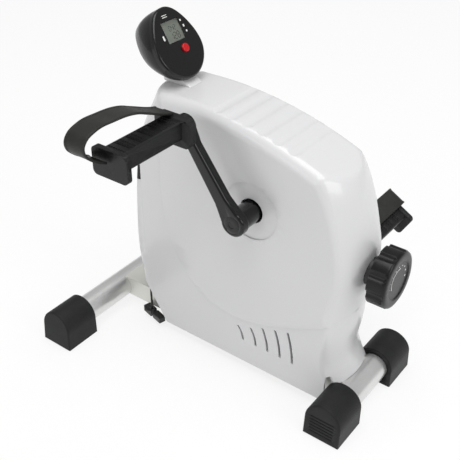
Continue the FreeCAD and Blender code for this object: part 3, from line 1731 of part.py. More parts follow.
def plug_lead():
    """A moulded plug that hangs beside the beam, and its lead up to the flywheel bracket."""
    turn = Rotation(AXIS_Z, float(S.plug_yaw))
    centre = vector(S.plug_x, S.plug_y, S.plug_z)
    half = float(S.plug_length) / 2
    wide = float(S.plug_width)
    high = float(S.plug_height)
    blocks = []
    for start, end, share in ((-half, -2, 1.0), (-2.5, 2.5, 0.7), (2, half, 0.9)):
        corner = Vector(start, -wide * share / 2, -high * share / 2)
        blocks.append(Part.makeBox(end - start, wide * share, high * share, corner))
    plug = blocks[0].fuse(blocks[1:])
    plug = plug.makeFillet(1.2, [e for e in plug.Edges if abs(abs(e.CenterOfMass.x) - half) < 0.1])
    plug.Placement = Placement(centre, turn)
    top = centre + turn.multVec(Vector(-6, 0, 0))
    lift = Vector(0, 0, float(S.plug_lead_z) - top.z)
    ear = vector(S.wheel_x - 4, S.ear_left_y, S.plug_lead_z)
    lead = tube_along(
        [top, top + lift, Vector(ear.x, top.y, ear.z), ear], float(S.lead_d) / 2, 6
    )
    return node(feature("plug_lead", plug.fuse(lead)))


plug_lead()

# ---------------------------------------------------------------- finish


def check_and_write():
    document.recompute()
    for thing in document.Objects:
        bad = [state for state in thing.State if state in ("Invalid", "Error")]
        if bad:
            raise RuntimeError("%s is %s" % (thing.Name, bad))
    rear_reach = S.foot_spacing / 2 + S.cap_width / 2
    # The origin lies under the middle of the whole box. The open left strap reaches further
    # out than the right one, so that middle is beside the casing's mid-plane.
    shift = Vector(float(rear_reach - S.knob_face_x) / 2, float(S.middle_offset_y), 0)
    os.makedirs("parts", exist_ok=True)
    for made in nodes:
        shape = made.Shape.copy()
        if shape.isNull() or not shape.isValid() or shape.Volume <= 0:
            raise RuntimeError("%s has no valid shape" % made.Label)
        made.Placement.Base = made.Placement.Base + shift
    document.recompute()
    for made in nodes:
        made.Shape.exportStep("parts/%s.step" % made.Label)
        print("%-28s %2d solids %10.0f mm3" % (made.Label, len(made.Shape.Solids), made.Shape.Volume))
    print("nodes", len(nodes), "shift", shift)


check_and_write()
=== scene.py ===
"""Pedal exerciser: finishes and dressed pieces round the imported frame, laid out as an add-on."""
import json
import math

import bpy
from bpy.props import FloatProperty, FloatVectorProperty, IntProperty, PointerProperty
from mathutils import Matrix, Vector


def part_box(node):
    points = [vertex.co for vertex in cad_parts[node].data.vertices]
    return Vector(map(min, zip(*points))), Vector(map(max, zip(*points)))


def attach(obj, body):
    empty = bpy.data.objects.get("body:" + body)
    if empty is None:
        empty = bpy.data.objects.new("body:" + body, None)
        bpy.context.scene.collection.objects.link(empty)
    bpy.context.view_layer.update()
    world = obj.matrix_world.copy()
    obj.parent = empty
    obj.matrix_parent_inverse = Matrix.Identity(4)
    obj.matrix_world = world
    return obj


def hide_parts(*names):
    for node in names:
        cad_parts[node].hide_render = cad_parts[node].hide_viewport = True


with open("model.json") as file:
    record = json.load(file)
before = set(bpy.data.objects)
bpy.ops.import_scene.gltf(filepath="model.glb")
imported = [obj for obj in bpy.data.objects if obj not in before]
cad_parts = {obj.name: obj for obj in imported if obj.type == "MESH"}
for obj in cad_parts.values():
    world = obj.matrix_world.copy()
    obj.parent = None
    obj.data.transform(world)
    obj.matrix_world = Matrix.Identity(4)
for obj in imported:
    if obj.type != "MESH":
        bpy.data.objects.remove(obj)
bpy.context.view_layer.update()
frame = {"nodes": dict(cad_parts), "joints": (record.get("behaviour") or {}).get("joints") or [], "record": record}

bl_info = {
    "name": "Pedal exerciser",
    "version": (1, 0, 0),
    "blender": (4, 5, 0),
    "location": "3D Viewport > Sidebar > Exerciser",
    "description": "Finishes and dresses a pedal exerciser round its packed frame",
    "category": "Object",
}

MM = 0.001
SMOOTH_ANGLE = math.radians(32)
CASING_ANGLE = math.radians(22)

# a pedal's outer end from the mid-plane, and its top and its tread above its spindle's axis, in mm
PEDAL_END = 203
PEDAL_TOP = 19
TREAD_TOP = 17
RIGHT_TILT = math.radians(30)

# the display's housing: the middle of its face and how far it leans back
POD_MIDDLE = (-104.55 * MM, 0, 435.6 * MM)
POD_TILT = math.radians(32)

# the recessed face of the dial, and the outer face of a crank arm from the mid-plane
DIAL_FACE_X = 225.45 * MM
CRANK_FACE_Y = 88 * MM

CAMERA_PLACE = (0.52025, -0.70445, 0.7766)
CAMERA_AIM = (-0.089093, 0.106896, 0.102)


# ------------------------------------------------------------------ small helpers


def linear(code):
    """A colour written as sRGB hex, as the linear values that Blender takes."""
    parts = [int(code[i : i + 2], 16) / 255 for i in (1, 3, 5)]
    return [p / 12.92 if p <= 0.04045 else ((p + 0.055) / 1.055) ** 2.4 for p in parts]


def rgba(colour, share=1.0):
    """A colour property as four values, darker or lighter by a share."""
    return [min(1.0, part * share) for part in colour[:3]] + [1.0]


def add_node(tree, kind, inputs=None, **settings):
    """Adds a node with its own settings, and fills or links its inputs."""
    made = tree.nodes.new(kind)
    for key, value in settings.items():
        setattr(made, key, value)
    for key, value in (inputs or {}).items():
        if isinstance(value, bpy.types.NodeSocket):
            tree.links.new(value, made.inputs[key])
        else:
            made.inputs[key].default_value = value
    return made


def start_material(name):
    """An empty node material and its Object coordinates, in metres."""
    made = bpy.data.materials.new(name)
    made.use_nodes = True
    made.node_tree.nodes.clear()
    place = add_node(made.node_tree, "ShaderNodeTexCoord").outputs["Object"]
    return made, made.node_tree, place


def end_material(tree, shader):
    add_node(tree, "ShaderNodeOutputMaterial", {"Surface": shader.outputs[0]})


def mixed_colour(tree, share, low, high):
    """One colour turning into another as the share's node goes from 0 to 1."""
    inputs = {0: share.outputs[0], 6: low, 7: high}
    return add_node(tree, "ShaderNodeMix", inputs, data_type="RGBA")


def mapped(tree, source, low, high):
    """A node's first value, spread over another range."""
    inputs = {"Value": source.outputs[0], "To Min": low, "To Max": high}
    return add_node(tree, "ShaderNodeMapRange", inputs)


def finish_surface(tree, colours, rough, bump, settings):
    """Ends a material in one Principled shader, with its own settings on top."""
    inputs = {
        "Base Color": colours.outputs[2],
        "Roughness": rough.outputs[0],
        "Normal": bump.outputs[0],
    }
    inputs.update(settings)
    end_material(tree, add_node(tree, "ShaderNodeBsdfPrincipled", inputs))


def only(thing):
    """Makes one object the active one and the only one selected."""
    bpy.ops.object.select_all(action="DESELECT")
    thing.select_set(True)
    bpy.context.view_layer.objects.active = thing


def added(name):
    """Names what an operator has just added."""
    made = bpy.context.active_object
    made.name = name
    made.data.name = name
    return made


def pick_faces(thing, wanted):
    """Goes to edit mode with only the wanted faces selected."""
    only(thing)
    bpy.ops.object.mode_set(mode="EDIT")
    bpy.ops.mesh.select_mode(type="FACE")
    bpy.ops.mesh.select_all(action="DESELECT")
    bpy.ops.object.mode_set(mode="OBJECT")
    for face in thing.data.polygons:
        face.select = wanted(face)
    bpy.ops.object.mode_set(mode="EDIT")


def leave_edit():
    bpy.ops.object.mode_set(mode="OBJECT")


def modify(thing, kind, **settings):
    """Adds a modifier, sets it and applies it."""
    only(thing)
    bpy.ops.object.modifier_add(type=kind)
    modifier = thing.modifiers[-1]
    for key, value in settings.items():
        setattr(modifier, key, value)
    bpy.ops.object.modifier_apply(modifier=modifier.name)


def settle(thing, matrix):
    """Puts a finished mesh in its place and leaves its object at the origin."""
    thing.matrix_world = matrix
    only(thing)
    bpy.ops.object.transform_apply(location=True, rotation=True, scale=True)


def outward(thing):
    """Closes doubles and turns every face outwards."""
    only(thing)
    bpy.ops.object.mode_set(mode="EDIT")
    bpy.ops.mesh.select_all(action="SELECT")
    bpy.ops.mesh.remove_doubles(threshold=0.01 * MM)
    bpy.ops.mesh.normals_make_consistent(inside=False)
    bpy.ops.object.mode_set(mode="OBJECT")


def smooth(thing, angle=SMOOTH_ANGLE):
    only(thing)
    bpy.ops.object.shade_smooth_by_angle(angle=angle)


def paint(thing, *materials):
    thing.data.materials.clear()
    for material in materials:
        thing.data.materials.append(material)


def copy_to(source, matrix, name):
    """A copy of a modelled piece, with its own mesh, moved by a matrix."""
    made = source.copy()
    made.data = source.data.copy()
    made.name = name
    made.data.transform(matrix)
    bpy.context.scene.collection.objects.link(made)
    return made


def join(pieces, name):
    """Joins pieces into one object."""
    bpy.ops.object.select_all(action="DESELECT")
    for piece in pieces:
        piece.select_set(True)
    bpy.context.view_layer.objects.active = pieces[0]
    bpy.ops.object.join()
    return added(name)


def joint_place(name):
    """Where a joint's axis passes, from the frame's record."""
    found = [joint for joint in frame["joints"] if joint["name"] == name]
    return Vector(found[0]["pos_m"])


def middle_y():
    """Where the casing's mid-plane is: the dial turns about an axis in it."""
    return joint_place("tension_knob_turn").y


def ride(piece, body, slot, *nodes):
    """Moves a piece modelled round y = 0 to the mid-plane, and sets what it moves with; it hides
    the nodes that it stands for. The slot that it is given is not used."""
    piece.data.transform(Matrix.Translation((0, middle_y(), 0)))
    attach(piece, body)
    if nodes:
        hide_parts(*nodes)


# ------------------------------------------------------------------ settings


def colour(name, code, words):
    return FloatVectorProperty(
        name=name, description=words, subtype="COLOR", size=3, min=0.0, max=1.0, default=linear(code)
    )


def length(name, metres, words):
    return FloatProperty(
        name=name, description=words, subtype="DISTANCE", unit="LENGTH", min=0.0, default=metres
    )


class ExerciserColours(bpy.types.PropertyGroup):
    """The colours that a user may want to change."""

    casing: colour("Casing", "#DCDCDD", "Glossy ABS of the two casing halves")
    tube: colour("Tubes", "#E2E3E1", "Silver lacquer of the foot tubes")
    beam: colour("Beam", "#F0F0E6", "Light lacquer of the beam")
    rubber: colour("Feet", "#161617", "Rubber of the foot caps")
    enamel: colour("Cranks", "#050506", "Black enamel of the crank arms")
    pedal: colour("Pedals", "#0C0C0D", "Polypropylene of the pedals")
    strap: colour("Straps", "#20211D", "Soft PVC of the straps")
    knob: colour("Dial", "#0A0A0B", "Satin ABS of the tension dial")
    console: colour("Console", "#0A0A0B", "Glossy ABS of the display's shell")
    button: colour("Button", "#C20F16", "Red acrylic of the mode button")
    panel: colour("Display", "#A9AFA4", "Grey-green glass of the display")
    mark: colour("Marks", "#E6E6E4", "White printing ink")


class ExerciserSizes(bpy.types.PropertyGroup):
    """The sizes of the pieces that are modelled here."""

    strap_width: length("Strap width", 28 * MM, "Width of a pedal strap")
    strap_rim: length("Strap rim", 2.4 * MM, "Width of the raised rim along a strap")
    strap_thickness: length("Strap thickness", 2.7 * MM, "Thickness of a pedal strap")
    stud_width: length("Stud width", 2.6 * MM, "Width of one grip stud on a pedal")
    stud_height: length("Stud height", 0.9 * MM, "Height of one grip stud on a pedal")
    stud_columns: IntProperty(
        name="Stud columns", description="Grip studs across a pedal", min=1, default=7
    )
    digit_height: length("Digit height", 8.0 * MM, "Height of the display's large digits")
    dial_arc: length("Dial arc", 15.5 * MM, "Radius of the white arc on the dial")
    arc_width: length("Arc width", 0.9 * MM, "Width of the white arc on the dial")


# ------------------------------------------------------------------ materials

made_materials = {}


def moulded(name, base, drift_mm, grain_mm, relief_mm, roughness, spread=0.06, tint=0.06, **shader):
    """A moulded surface: slow drift of colour, fine grain from the tool, roughness that follows."""
    material, tree, place = start_material(name)
    drift = add_node(
        tree, "ShaderNodeTexNoise", {"Vector": place, "Scale": 1 / (drift_mm * MM), "Detail": 3.0}
    )
    grain = add_node(
        tree, "ShaderNodeTexNoise", {"Vector": place, "Scale": 1 / (grain_mm * MM), "Detail": 2.0}
    )
    colours = mixed_colour(tree, drift, rgba(base, 1 - tint), rgba(base, 1 + tint))
    rough = mapped(tree, grain, roughness - spread, roughness + spread)
    bump = add_node(
        tree,
        "ShaderNodeBump",
        {"Strength": 1.0, "Distance": relief_mm * MM, "Height": grain.outputs[0]},
    )
    finish_surface(tree, colours, rough, bump, shader)
    return material


def pebbled(name, base, cell_mm, relief_mm, roughness, **shader):
    """A surface moulded with a pebble texture: raised cells with fine valleys between."""
    material, tree, place = start_material(name)
    cells = add_node(
        tree,
        "ShaderNodeTexVoronoi",
        {"Vector": place, "Scale": 1 / (cell_mm * MM)},
        feature="DISTANCE_TO_EDGE",
    )
    height = add_node(tree, "ShaderNodeMapRange", {"Value": cells.outputs[0], "From Max": 0.3})
    drift = add_node(tree, "ShaderNodeTexNoise", {"Vector": place, "Scale": 40.0, "Detail": 4.0})
    dust = add_node(
        tree,
        "ShaderNodeMapRange",
        {"Value": drift.outputs[0], "From Min": 0.35, "From Max": 0.75},
    )
    colours = mixed_colour(tree, dust, rgba(base, 0.85), rgba(base, 1.5))
    rough = mapped(tree, height, roughness + 0.12, roughness)
    bump = add_node(
        tree,
        "ShaderNodeBump",
        {"Strength": 1.0, "Distance": relief_mm * MM, "Height": height.outputs[0]},
    )
    finish_surface(tree, colours, rough, bump, shader)
    return material


def lacquered(name, base, metallic, roughness, flake_mm=0.9):
    """Silver lacquer on steel: aluminium flakes, drawn coarse so that they show, under a thin gloss."""
    material, tree, place = start_material(name)
    flakes = add_node(
        tree, "ShaderNodeTexVoronoi", {"Vector": place, "Scale": 1 / (flake_mm * MM)}, feature="F1"
    )
    flow = add_node(tree, "ShaderNodeTexNoise", {"Vector": place, "Scale": 22.0, "Detail": 3.0})
    shade = add_node(
        tree,
        "ShaderNodeMapRange",
        {"Value": flakes.outputs["Color"], "To Min": 0.35, "To Max": 0.65},
    )
    blend = add_node(
        tree, "ShaderNodeMath", {0: shade.outputs[0], 1: flow.outputs[0]}, operation="MULTIPLY"
    )
    colours = mixed_colour(tree, blend, rgba(base, 0.86), rgba(base, 1.35))
    rough = mapped(tree, flow, roughness - 0.05, roughness + 0.08)
    bump = add_node(
        tree, "ShaderNodeBump", {"Distance": 0.02 * MM, "Height": flow.outputs[0]}
    )
    coat = {"Metallic": metallic, "Coat Weight": 0.25, "Coat Roughness": 0.15}
    finish_surface(tree, colours, rough, bump, coat)
    return material


def turned_metal(name, base, roughness, line_mm=0.5):
    """Bare or plated metal with fine tool lines, and a few duller patches."""
    material, tree, place = start_material(name)
    stretch = add_node(tree, "ShaderNodeMapping", {"Vector": place, "Scale": (1.0, 0.08, 1.0)})
    lines = add_node(
        tree,
        "ShaderNodeTexNoise",
        {"Vector": stretch.outputs[0], "Scale": 1 / (line_mm * MM), "Detail": 2.0},
    )
    patches = add_node(tree, "ShaderNodeTexNoise", {"Vector": place, "Scale": 60.0, "Detail": 4.0})
    colours = mixed_colour(tree, patches, rgba(base, 0.75), rgba(base, 1.15))
    rough = mapped(tree, patches, roughness - 0.08, roughness + 0.12)
    bump = add_node(tree, "ShaderNodeBump", {"Distance": 0.03 * MM, "Height": lines.outputs[0]})
    finish_surface(tree, colours, rough, bump, {"Metallic": 1.0})
    return material


def clear_acrylic(name):
    """The display's window: clear cast acrylic with the faintest unevenness."""
    material, tree, place = start_material(name)
    waves = add_node(tree, "ShaderNodeTexNoise", {"Vector": place, "Scale": 90.0})
    bump = add_node(tree, "ShaderNodeBump", {"Distance": 0.004 * MM, "Height": waves.outputs[0]})
    inputs = {
        "Base Color": [0.93, 0.95, 0.94, 1.0],
        "Roughness": 0.03,
        "IOR": 1.49,
        "Transmission Weight": 1.0,
        "Normal": bump.outputs[0],
    }
    end_material(tree, add_node(tree, "ShaderNodeBsdfPrincipled", inputs))
    return material


def make_materials(look):
    """One finish for each material slot of the record, and those of the pieces made here."""
    gloss = {"Coat Weight": 0.3, "Coat Roughness": 0.05, "Specular IOR Level": 0.3}
    finishes = {
        # ABS from a polished tool: even, glossy, with a trace of orange peel
        "housing_plastic": moulded(
            "glossy_abs_light_grey", look.casing, 160, 3.0, 0.015, 0.30, 0.04, 0.02,
            **{"Coat Weight": 0.35, "Coat Roughness": 0.10, "IOR": 1.53}
        ),
        # aluminium-flake lacquer over welded steel tube
        "satin_silver": lacquered("silver_lacquer_on_steel", look.tube, 0.75, 0.30),
        "frame_paint": lacquered("light_lacquer_on_steel", look.beam, 0.45, 0.36),
        # vulcanised rubber: matt, with moulding grain and a little dust
        "foot_rubber": pebbled(
            "moulded_rubber", look.rubber, 1.4, 0.05, 0.52, **{"Specular IOR Level": 0.35}
        ),
        "grip_rubber": pebbled(
            "moulded_rubber_grip", look.rubber, 2.2, 0.12, 0.6, **{"Specular IOR Level": 0.3}
        ),
        # stoved enamel on cast steel: deep gloss over a slightly wavy casting
        "crank_paint": moulded("stoved_black_enamel", look.enamel, 60, 7.0, 0.05, 0.2, **gloss),
        # glass-filled polypropylene with a leather grain
        "pedal_plastic": pebbled(
            "grained_polypropylene", look.pedal, 1.1, 0.08, 0.34, **{"Specular IOR Level": 0.4}
        ),
        "strap_rubber": pebbled(
            "soft_pvc_strap", look.strap, 0.8, 0.03, 0.42, **{"Specular IOR Level": 0.4}
        ),
        "knob_plastic": moulded(
            "satin_abs_dial", look.knob, 40, 0.9, 0.02, 0.3, **{"Specular IOR Level": 0.35}
        ),
        "console_plastic": moulded("glossy_abs_black", look.console, 70, 2.5, 0.01, 0.24, **gloss),
        "button_red": moulded("red_acrylic_key", look.button, 15, 1.5, 0.01, 0.22, **gloss),
        "display": moulded("liquid_crystal_glass", look.panel, 30, 0.6, 0.002, 0.32),
        "window_clear": clear_acrylic("clear_acrylic_window"),
        "circuit_board": moulded("green_solder_mask", linear("#1B5A33"), 12, 0.5, 0.02, 0.35),
        "cell_wrap": moulded("printed_foil_wrap", linear("#3C3C44"), 20, 1.0, 0.01, 0.28),
        "cable_jacket": moulded("soft_pvc_jacket", linear("#101011"), 30, 0.7, 0.02, 0.42),
        "belt_rubber": pebbled("ribbed_belt_rubber", linear("#161616"), 1.0, 0.05, 0.7),
        "black_nylon": moulded("black_nylon", linear("#1A1A1B"), 40, 0.8, 0.03, 0.45),
        # plated and bare steels
        "zinc_steel": turned_metal("zinc_plated_steel", linear("#C3C5C8"), 0.32),
        "bearing_steel": turned_metal("ground_bearing_steel", linear("#C9C9CB"), 0.22),
        "magnet": turned_metal("nickel_plated_magnet", linear("#D2CFC8"), 0.18),
        "cast_iron": turned_metal("machined_cast_iron", linear("#77777A"), 0.42, 0.8),
    }
    finishes["strap_edge"] = moulded(
        "soft_pvc_strap_rim", linear("#101011"), 25, 0.7, 0.02, 0.38, **{"IOR": 1.53}
    )
    finishes["printed_mark"] = moulded("white_printing_ink", look.mark, 8, 0.4, 0.01, 0.45)
    finishes["digit"] = moulded("liquid_crystal_digit", linear("#0E0F0C"), 8, 0.4, 0.001, 0.4)
    made_materials.update(finishes)


# ------------------------------------------------------------------ operators


class EXERCISER_OT_stage(bpy.types.Operator):
    """Adds the pale floor, the soft studio light and the camera"""

    bl_idname = "exerciser.stage"
    bl_label = "Stage and camera"

    def execute(self, context):
        bpy.ops.object.select_all(action="DESELECT")
        bpy.ops.mesh.primitive_plane_add(size=9.0, location=(0, 0, 0))
        floor = added("studio_floor")
        paint(floor, self.floor_paper())
        self.sky(context)
        for name, place, aim, size, power in (
            ("top_softbox", (0.3, -0.2, 3.4), (0, 0, 0.2), 2.6, 70.0),
            ("front_softbox", (1.9, -0.1, 1.2), (0.1, 0, 0.25), 0.9, 8.0),
            ("side_softbox", (-0.5, -2.0, 1.0), (0, 0, 0.22), 1.1, 4.5),
        ):
            bpy.ops.object.light_add(type="AREA", location=place)
            lamp = added(name)
            lamp.data.shape = "SQUARE"
            lamp.data.size = size
            lamp.data.energy = power
            lamp.rotation_euler = (Vector(aim) - Vector(place)).to_track_quat("-Z", "Y").to_euler()
        bpy.ops.object.camera_add(location=CAMERA_PLACE)
        camera = added("studio_camera")
        aim = Vector(CAMERA_AIM) - camera.location
        camera.rotation_euler = aim.to_track_quat("-Z", "Y").to_euler()
        camera.data.lens = 63.27
        camera.data.sensor_width = 36.0
        camera.data.clip_start = 0.01
        context.scene.camera = camera
        context.scene.view_settings.view_transform = "Standard"
        return {"FINISHED"}

    @staticmethod
    def floor_paper():
        """White paper: what is seen of it is mostly its own white, and the rest takes shadows."""
        material, tree, place = start_material("white_studio_paper")
        fibres = add_node(tree, "ShaderNodeTexNoise", {"Vector": place, "Scale": 30.0})
        tone = mixed_colour(tree, fibres, [0.94, 0.94, 0.94, 1], [0.96, 0.96, 0.96, 1])
        paper = add_node(tree, "ShaderNodeBsdfDiffuse", {"Color": tone.outputs[2]})
        white = add_node(tree, "ShaderNodeEmission", {"Strength": 1.0})
        path = add_node(tree, "ShaderNodeLightPath")
        seen = add_node(
            tree,
            "ShaderNodeMath",
            {0: path.outputs["Is Camera Ray"], 1: path.outputs["Is Glossy Ray"]},
            operation="MAXIMUM",
        )
        share = add_node(tree, "ShaderNodeMath", {0: seen.outputs[0], 1: 0.8}, operation="MULTIPLY")
        mixed = add_node(
            tree, "ShaderNodeMixShader", {0: share.outputs[0], 1: paper.outputs[0], 2: white.outputs[0]}
        )
        end_material(tree, mixed)
        return material

    @staticmethod
    def sky(context):
        """An even grey light from all round, seen as white by the camera."""
        world = bpy.data.worlds.new("studio")
        context.scene.world = world
        world.use_nodes = True
        tree = world.node_tree
        tree.nodes.clear()
        path = add_node(tree, "ShaderNodeLightPath")
        # Is Camera Ray is the node's first output
        level = mapped(tree, path, 0.44, 1.0)
        back = add_node(
            tree, "ShaderNodeBackground", {"Color": [1, 1, 1, 1], "Strength": level.outputs[0]}
        )
        add_node(tree, "ShaderNodeOutputWorld", {"Surface": back.outputs[0]})


class EXERCISER_OT_finishes(bpy.types.Operator):
    """Gives every part of the frame the finish of its material slot"""

    bl_idname = "exerciser.finishes"
    bl_label = "Finishes"

    def execute(self, context):
        make_materials(context.scene.exerciser_colours)
        slots = {}
        for part in frame["record"]["subparts"]:
            slots[part["node"]] = part["material_slot"]
        for name, part in frame["nodes"].items():
            paint(part, made_materials[slots[name]])
        return {"FINISHED"}


class EXERCISER_OT_smooth_casts(bpy.types.Operator):
    """Stands a merged, smooth-shaded copy in for every part but the two straps"""

    bl_idname = "exerciser.smooth_casts"
    bl_label = "Smooth castings"

    def execute(self, context):
        bodies = {}
        for body, names in frame["record"]["behaviour"]["bodies"].items():
            for name in names:
                bodies[name] = body
        left_alone = ("left_pedal_strap", "right_pedal_strap")
        for name, part in frame["nodes"].items():
            if name in left_alone:
                continue
            piece = copy_to(part, Matrix(), name + "_surface")
            piece.parent = None
            for key in list(piece.keys()):
                del piece[key]
            only(piece)
            bpy.ops.object.mode_set(mode="EDIT")
            bpy.ops.mesh.select_all(action="SELECT")
            bpy.ops.mesh.remove_doubles(threshold=0.002 * MM)
            bpy.ops.object.mode_set(mode="OBJECT")
            smooth(piece, CASING_ANGLE if name.endswith("_housing") else SMOOTH_ANGLE)
            modify(piece, "WEIGHTED_NORMAL", weight=60, keep_sharp=True)
            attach(piece, bodies[name])
            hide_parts(name)
        return {"FINISHED"}


def strap_line(way):
    """The strap's middle line: out from the mid-plane and up from the spindle's axis, in metres."""
    return [((PEDAL_END + out) * MM, (PEDAL_TOP + up) * MM) for out, up in way]


OPEN_WAY = [(1.8, -14), (22, -2), (31, 10), (29, 19.5), (14, 27.5), (-14, 28.5), (-46, 24.5)]
OPEN_WAY += [(-68, 16), (-95, 5), (-106, 1.8)]
LOW_WAY = [(1.8, -14), (2.2, -10), (4, -4.5), (5.2, 1), (1, 6), (-14, 6.5), (-50, 5.5)]
LOW_WAY += [(-80, 3.5), (-106, 1.8)]


class EXERCISER_OT_straps(bpy.types.Operator):
    """Models the two PVC pedal straps, with a raised rim along each side"""

    bl_idname = "exerciser.straps"
    bl_label = "Pedal straps"

    def execute(self, context):
        sizes = context.scene.exerciser_sizes
        for word, side, way, tilt in (
            ("left", -1, OPEN_WAY, 0.0),
            ("right", 1, LOW_WAY, RIGHT_TILT),
        ):
            strap = self.band(word, side, strap_line(way), sizes)
            axis = joint_place(word + "_pedal_spin")
            # the flat curve's x runs along Y, its y along Z and its depth along X
            upright = Matrix(((0, 0, 1, 0), (1, 0, 0, 0), (0, 1, 0, 0), (0, 0, 0, 1)))
            middle = Matrix.Translation((-15 * MM, 0, 0))
            turn = Matrix.Rotation(tilt, 4, "Y")
            place = Matrix.Translation((axis.x, 0, axis.z))
            settle(strap, place @ turn @ middle @ upright)
            outward(strap)
            smooth(strap, math.radians(40))
            paint(strap, made_materials["strap_rubber"], made_materials["strap_edge"])
            ride(strap, word + "_pedal_set", "strap_rubber", word + "_pedal_strap")
        return {"FINISHED"}

    @staticmethod
    def band(word, side, line, sizes):
        """A ribbon along the line, thickened, with its middle pressed in between the rims."""
        bpy.ops.object.select_all(action="DESELECT")
        bpy.ops.curve.primitive_bezier_curve_add(location=(0, 0, 0))
        curve = added(word + "_strap_band")
        curve.data.dimensions = "2D"
        curve.data.fill_mode = "NONE"
        curve.data.resolution_u = 8
        curve.data.extrude = sizes.strap_width / 2
        spline = curve.data.splines[0]
        spline.bezier_points.add(len(line) - 2)
        for point, (out, up) in zip(spline.bezier_points, line):
            point.co = (side * out, up, 0)
            point.handle_left_type = "AUTO"
            point.handle_right_type = "AUTO"
        only(curve)
        bpy.ops.object.convert(target="MESH")
        strap = bpy.context.active_object
        inner = sizes.strap_width / 2 - sizes.strap_rim
        for edge in (-inner, inner):
            bpy.ops.object.mode_set(mode="EDIT")
            bpy.ops.mesh.select_all(action="SELECT")
            bpy.ops.mesh.bisect(plane_co=(0, 0, edge), plane_no=(0, 0, 1))
            bpy.ops.object.mode_set(mode="OBJECT")
        modify(strap, "SOLIDIFY", thickness=sizes.strap_thickness, offset=0.0)
        strap.data.materials.append(None)
        strap.data.materials.append(None)
        for face in strap.data.polygons:
            face.material_index = int(abs(face.center.z) > inner)
        pick_faces(strap, lambda face: abs(face.center.z) < inner and abs(face.normal.z) < 0.5)
        bpy.ops.mesh.inset(thickness=0.5 * MM, depth=-0.45 * MM)
        leave_edit()
        modify(strap, "BEVEL", width=0.35 * MM, segments=2, angle_limit=math.radians(55))
        return strap


class EXERCISER_OT_studs(bpy.types.Operator):
    """Models the rows of small grip studs on the pedals' treads"""

    bl_idname = "exerciser.studs"
    bl_label = "Tread studs"

    def execute(self, context):
        sizes = context.scene.exerciser_sizes
        first_x, first_y, sunk = -9.9 * MM, 105.5 * MM, 0.3 * MM
        for word, side, tilt in (("left", -1, 0.0), ("right", 1, RIGHT_TILT)):
            bpy.ops.object.select_all(action="DESELECT")
            bpy.ops.mesh.primitive_cone_add(
                vertices=4,
                radius1=sizes.stud_width * 0.6,
                radius2=sizes.stud_width * 0.3,
                depth=sizes.stud_height + sunk,
                location=(first_x, side * first_y, TREAD_TOP * MM - sunk + sizes.stud_height / 2),
                rotation=(0, 0, math.radians(45)),
            )
            studs = added(word + "_tread_studs")
            only(studs)
            bpy.ops.object.transform_apply(location=True, rotation=True, scale=True)
            modify(studs, "BEVEL", width=0.15 * MM, segments=1)
            for count, step in (
                (sizes.stud_columns, (3.3 * MM, 0, 0)),
                (2, (0, side * 5.0 * MM, 0)),
                (6, (0, side * 17.0 * MM, 0)),
            ):
                modify(
                    studs,
                    "ARRAY",
                    count=count,
                    use_relative_offset=False,
                    use_constant_offset=True,
                    constant_offset_displace=step,
                )
            axis = joint_place(word + "_pedal_spin")
            turn = Matrix.Rotation(tilt, 4, "Y")
            settle(studs, Matrix.Translation((axis.x, 0, axis.z)) @ turn)
            paint(studs, made_materials["pedal_plastic"])
            ride(studs, word + "_pedal_set", "pedal_plastic")
        return {"FINISHED"}


def pod_matrix():
    """The console's own frame: x to its right, y up its face, z out of it."""
    up = Vector((-math.sin(POD_TILT), 0, math.cos(POD_TILT)))
    out = Vector((math.cos(POD_TILT), 0, math.sin(POD_TILT)))
    turn = Matrix((Vector((0, 1, 0)), up, out)).transposed().to_4x4()
    return Matrix.Translation(POD_MIDDLE) @ turn


# which of the seven bars of a digit are dark: top, two upper, middle, two lower, bottom
DIGITS = {
    "0": (1, 1, 1, 0, 1, 1, 1),
    "1": (0, 0, 1, 0, 0, 1, 0),
    "2": (1, 0, 1, 1, 1, 0, 1),
    "4": (0, 1, 1, 1, 0, 1, 0),
    "8": (1, 1, 1, 1, 1, 1, 1),
}


class EXERCISER_OT_digits(bpy.types.Operator):
    """Models the plain numbers that the display shows"""

    bl_idname = "exerciser.digits"
    bl_label = "Display digits"

    def execute(self, context):
        tall = context.scene.exerciser_sizes.digit_height
        bpy.ops.object.select_all(action="DESELECT")
        # one bar is a stretched six-sided plate with pointed ends
        bpy.ops.mesh.primitive_cylinder_add(vertices=6, radius=0.5, depth=1.0)
        bar = added("digit_bar")
        bars = []
        for text, left, low, height in (
            ("042", -3.6 * MM, 0.8 * MM, tall * 0.75),
            ("128", -5.6 * MM, -10.0 * MM, tall),
        ):
            for count, digit in enumerate(text):
                start = left + count * height * 0.72
                bars += self.digit(bar, DIGITS[digit], start, low, height, len(bars))
        bpy.data.objects.remove(bar)
        digits = join(bars, "display_digits")
        settle(digits, pod_matrix())
        paint(digits, made_materials["digit"])
        ride(digits, "base", "display")
        return {"FINISHED"}

    @staticmethod
    def digit(bar, lit, left, low, height, first):
        wide = height * 0.52
        half = height / 2
        places = (
            (wide / 2, height, 0),
            (0, half * 1.5, 1),
            (wide, half * 1.5, 1),
            (wide / 2, half, 0),
            (0, half * 0.5, 1),
            (wide, half * 0.5, 1),
            (wide / 2, 0, 0),
        )
        made = []
        for count, (on, (x, y, upright)) in enumerate(zip(lit, places)):
            if not on:
                continue
            turn = Matrix.Rotation(math.radians(90) * upright, 4, "Z")
            long = (half if upright else wide) * 0.9
            shape = Matrix.Diagonal((long, height * 0.13, 0.12 * MM, 1))
            place = Matrix.Translation((left + x, low + y, -3.32 * MM))
            # the six-sided plate points along Y, so it is turned to point along the bar
            point = Matrix.Rotation(math.radians(90), 4, "Z")
            made.append(copy_to(bar, place @ turn @ shape @ point, "bar_%d" % (first + count)))
        return made


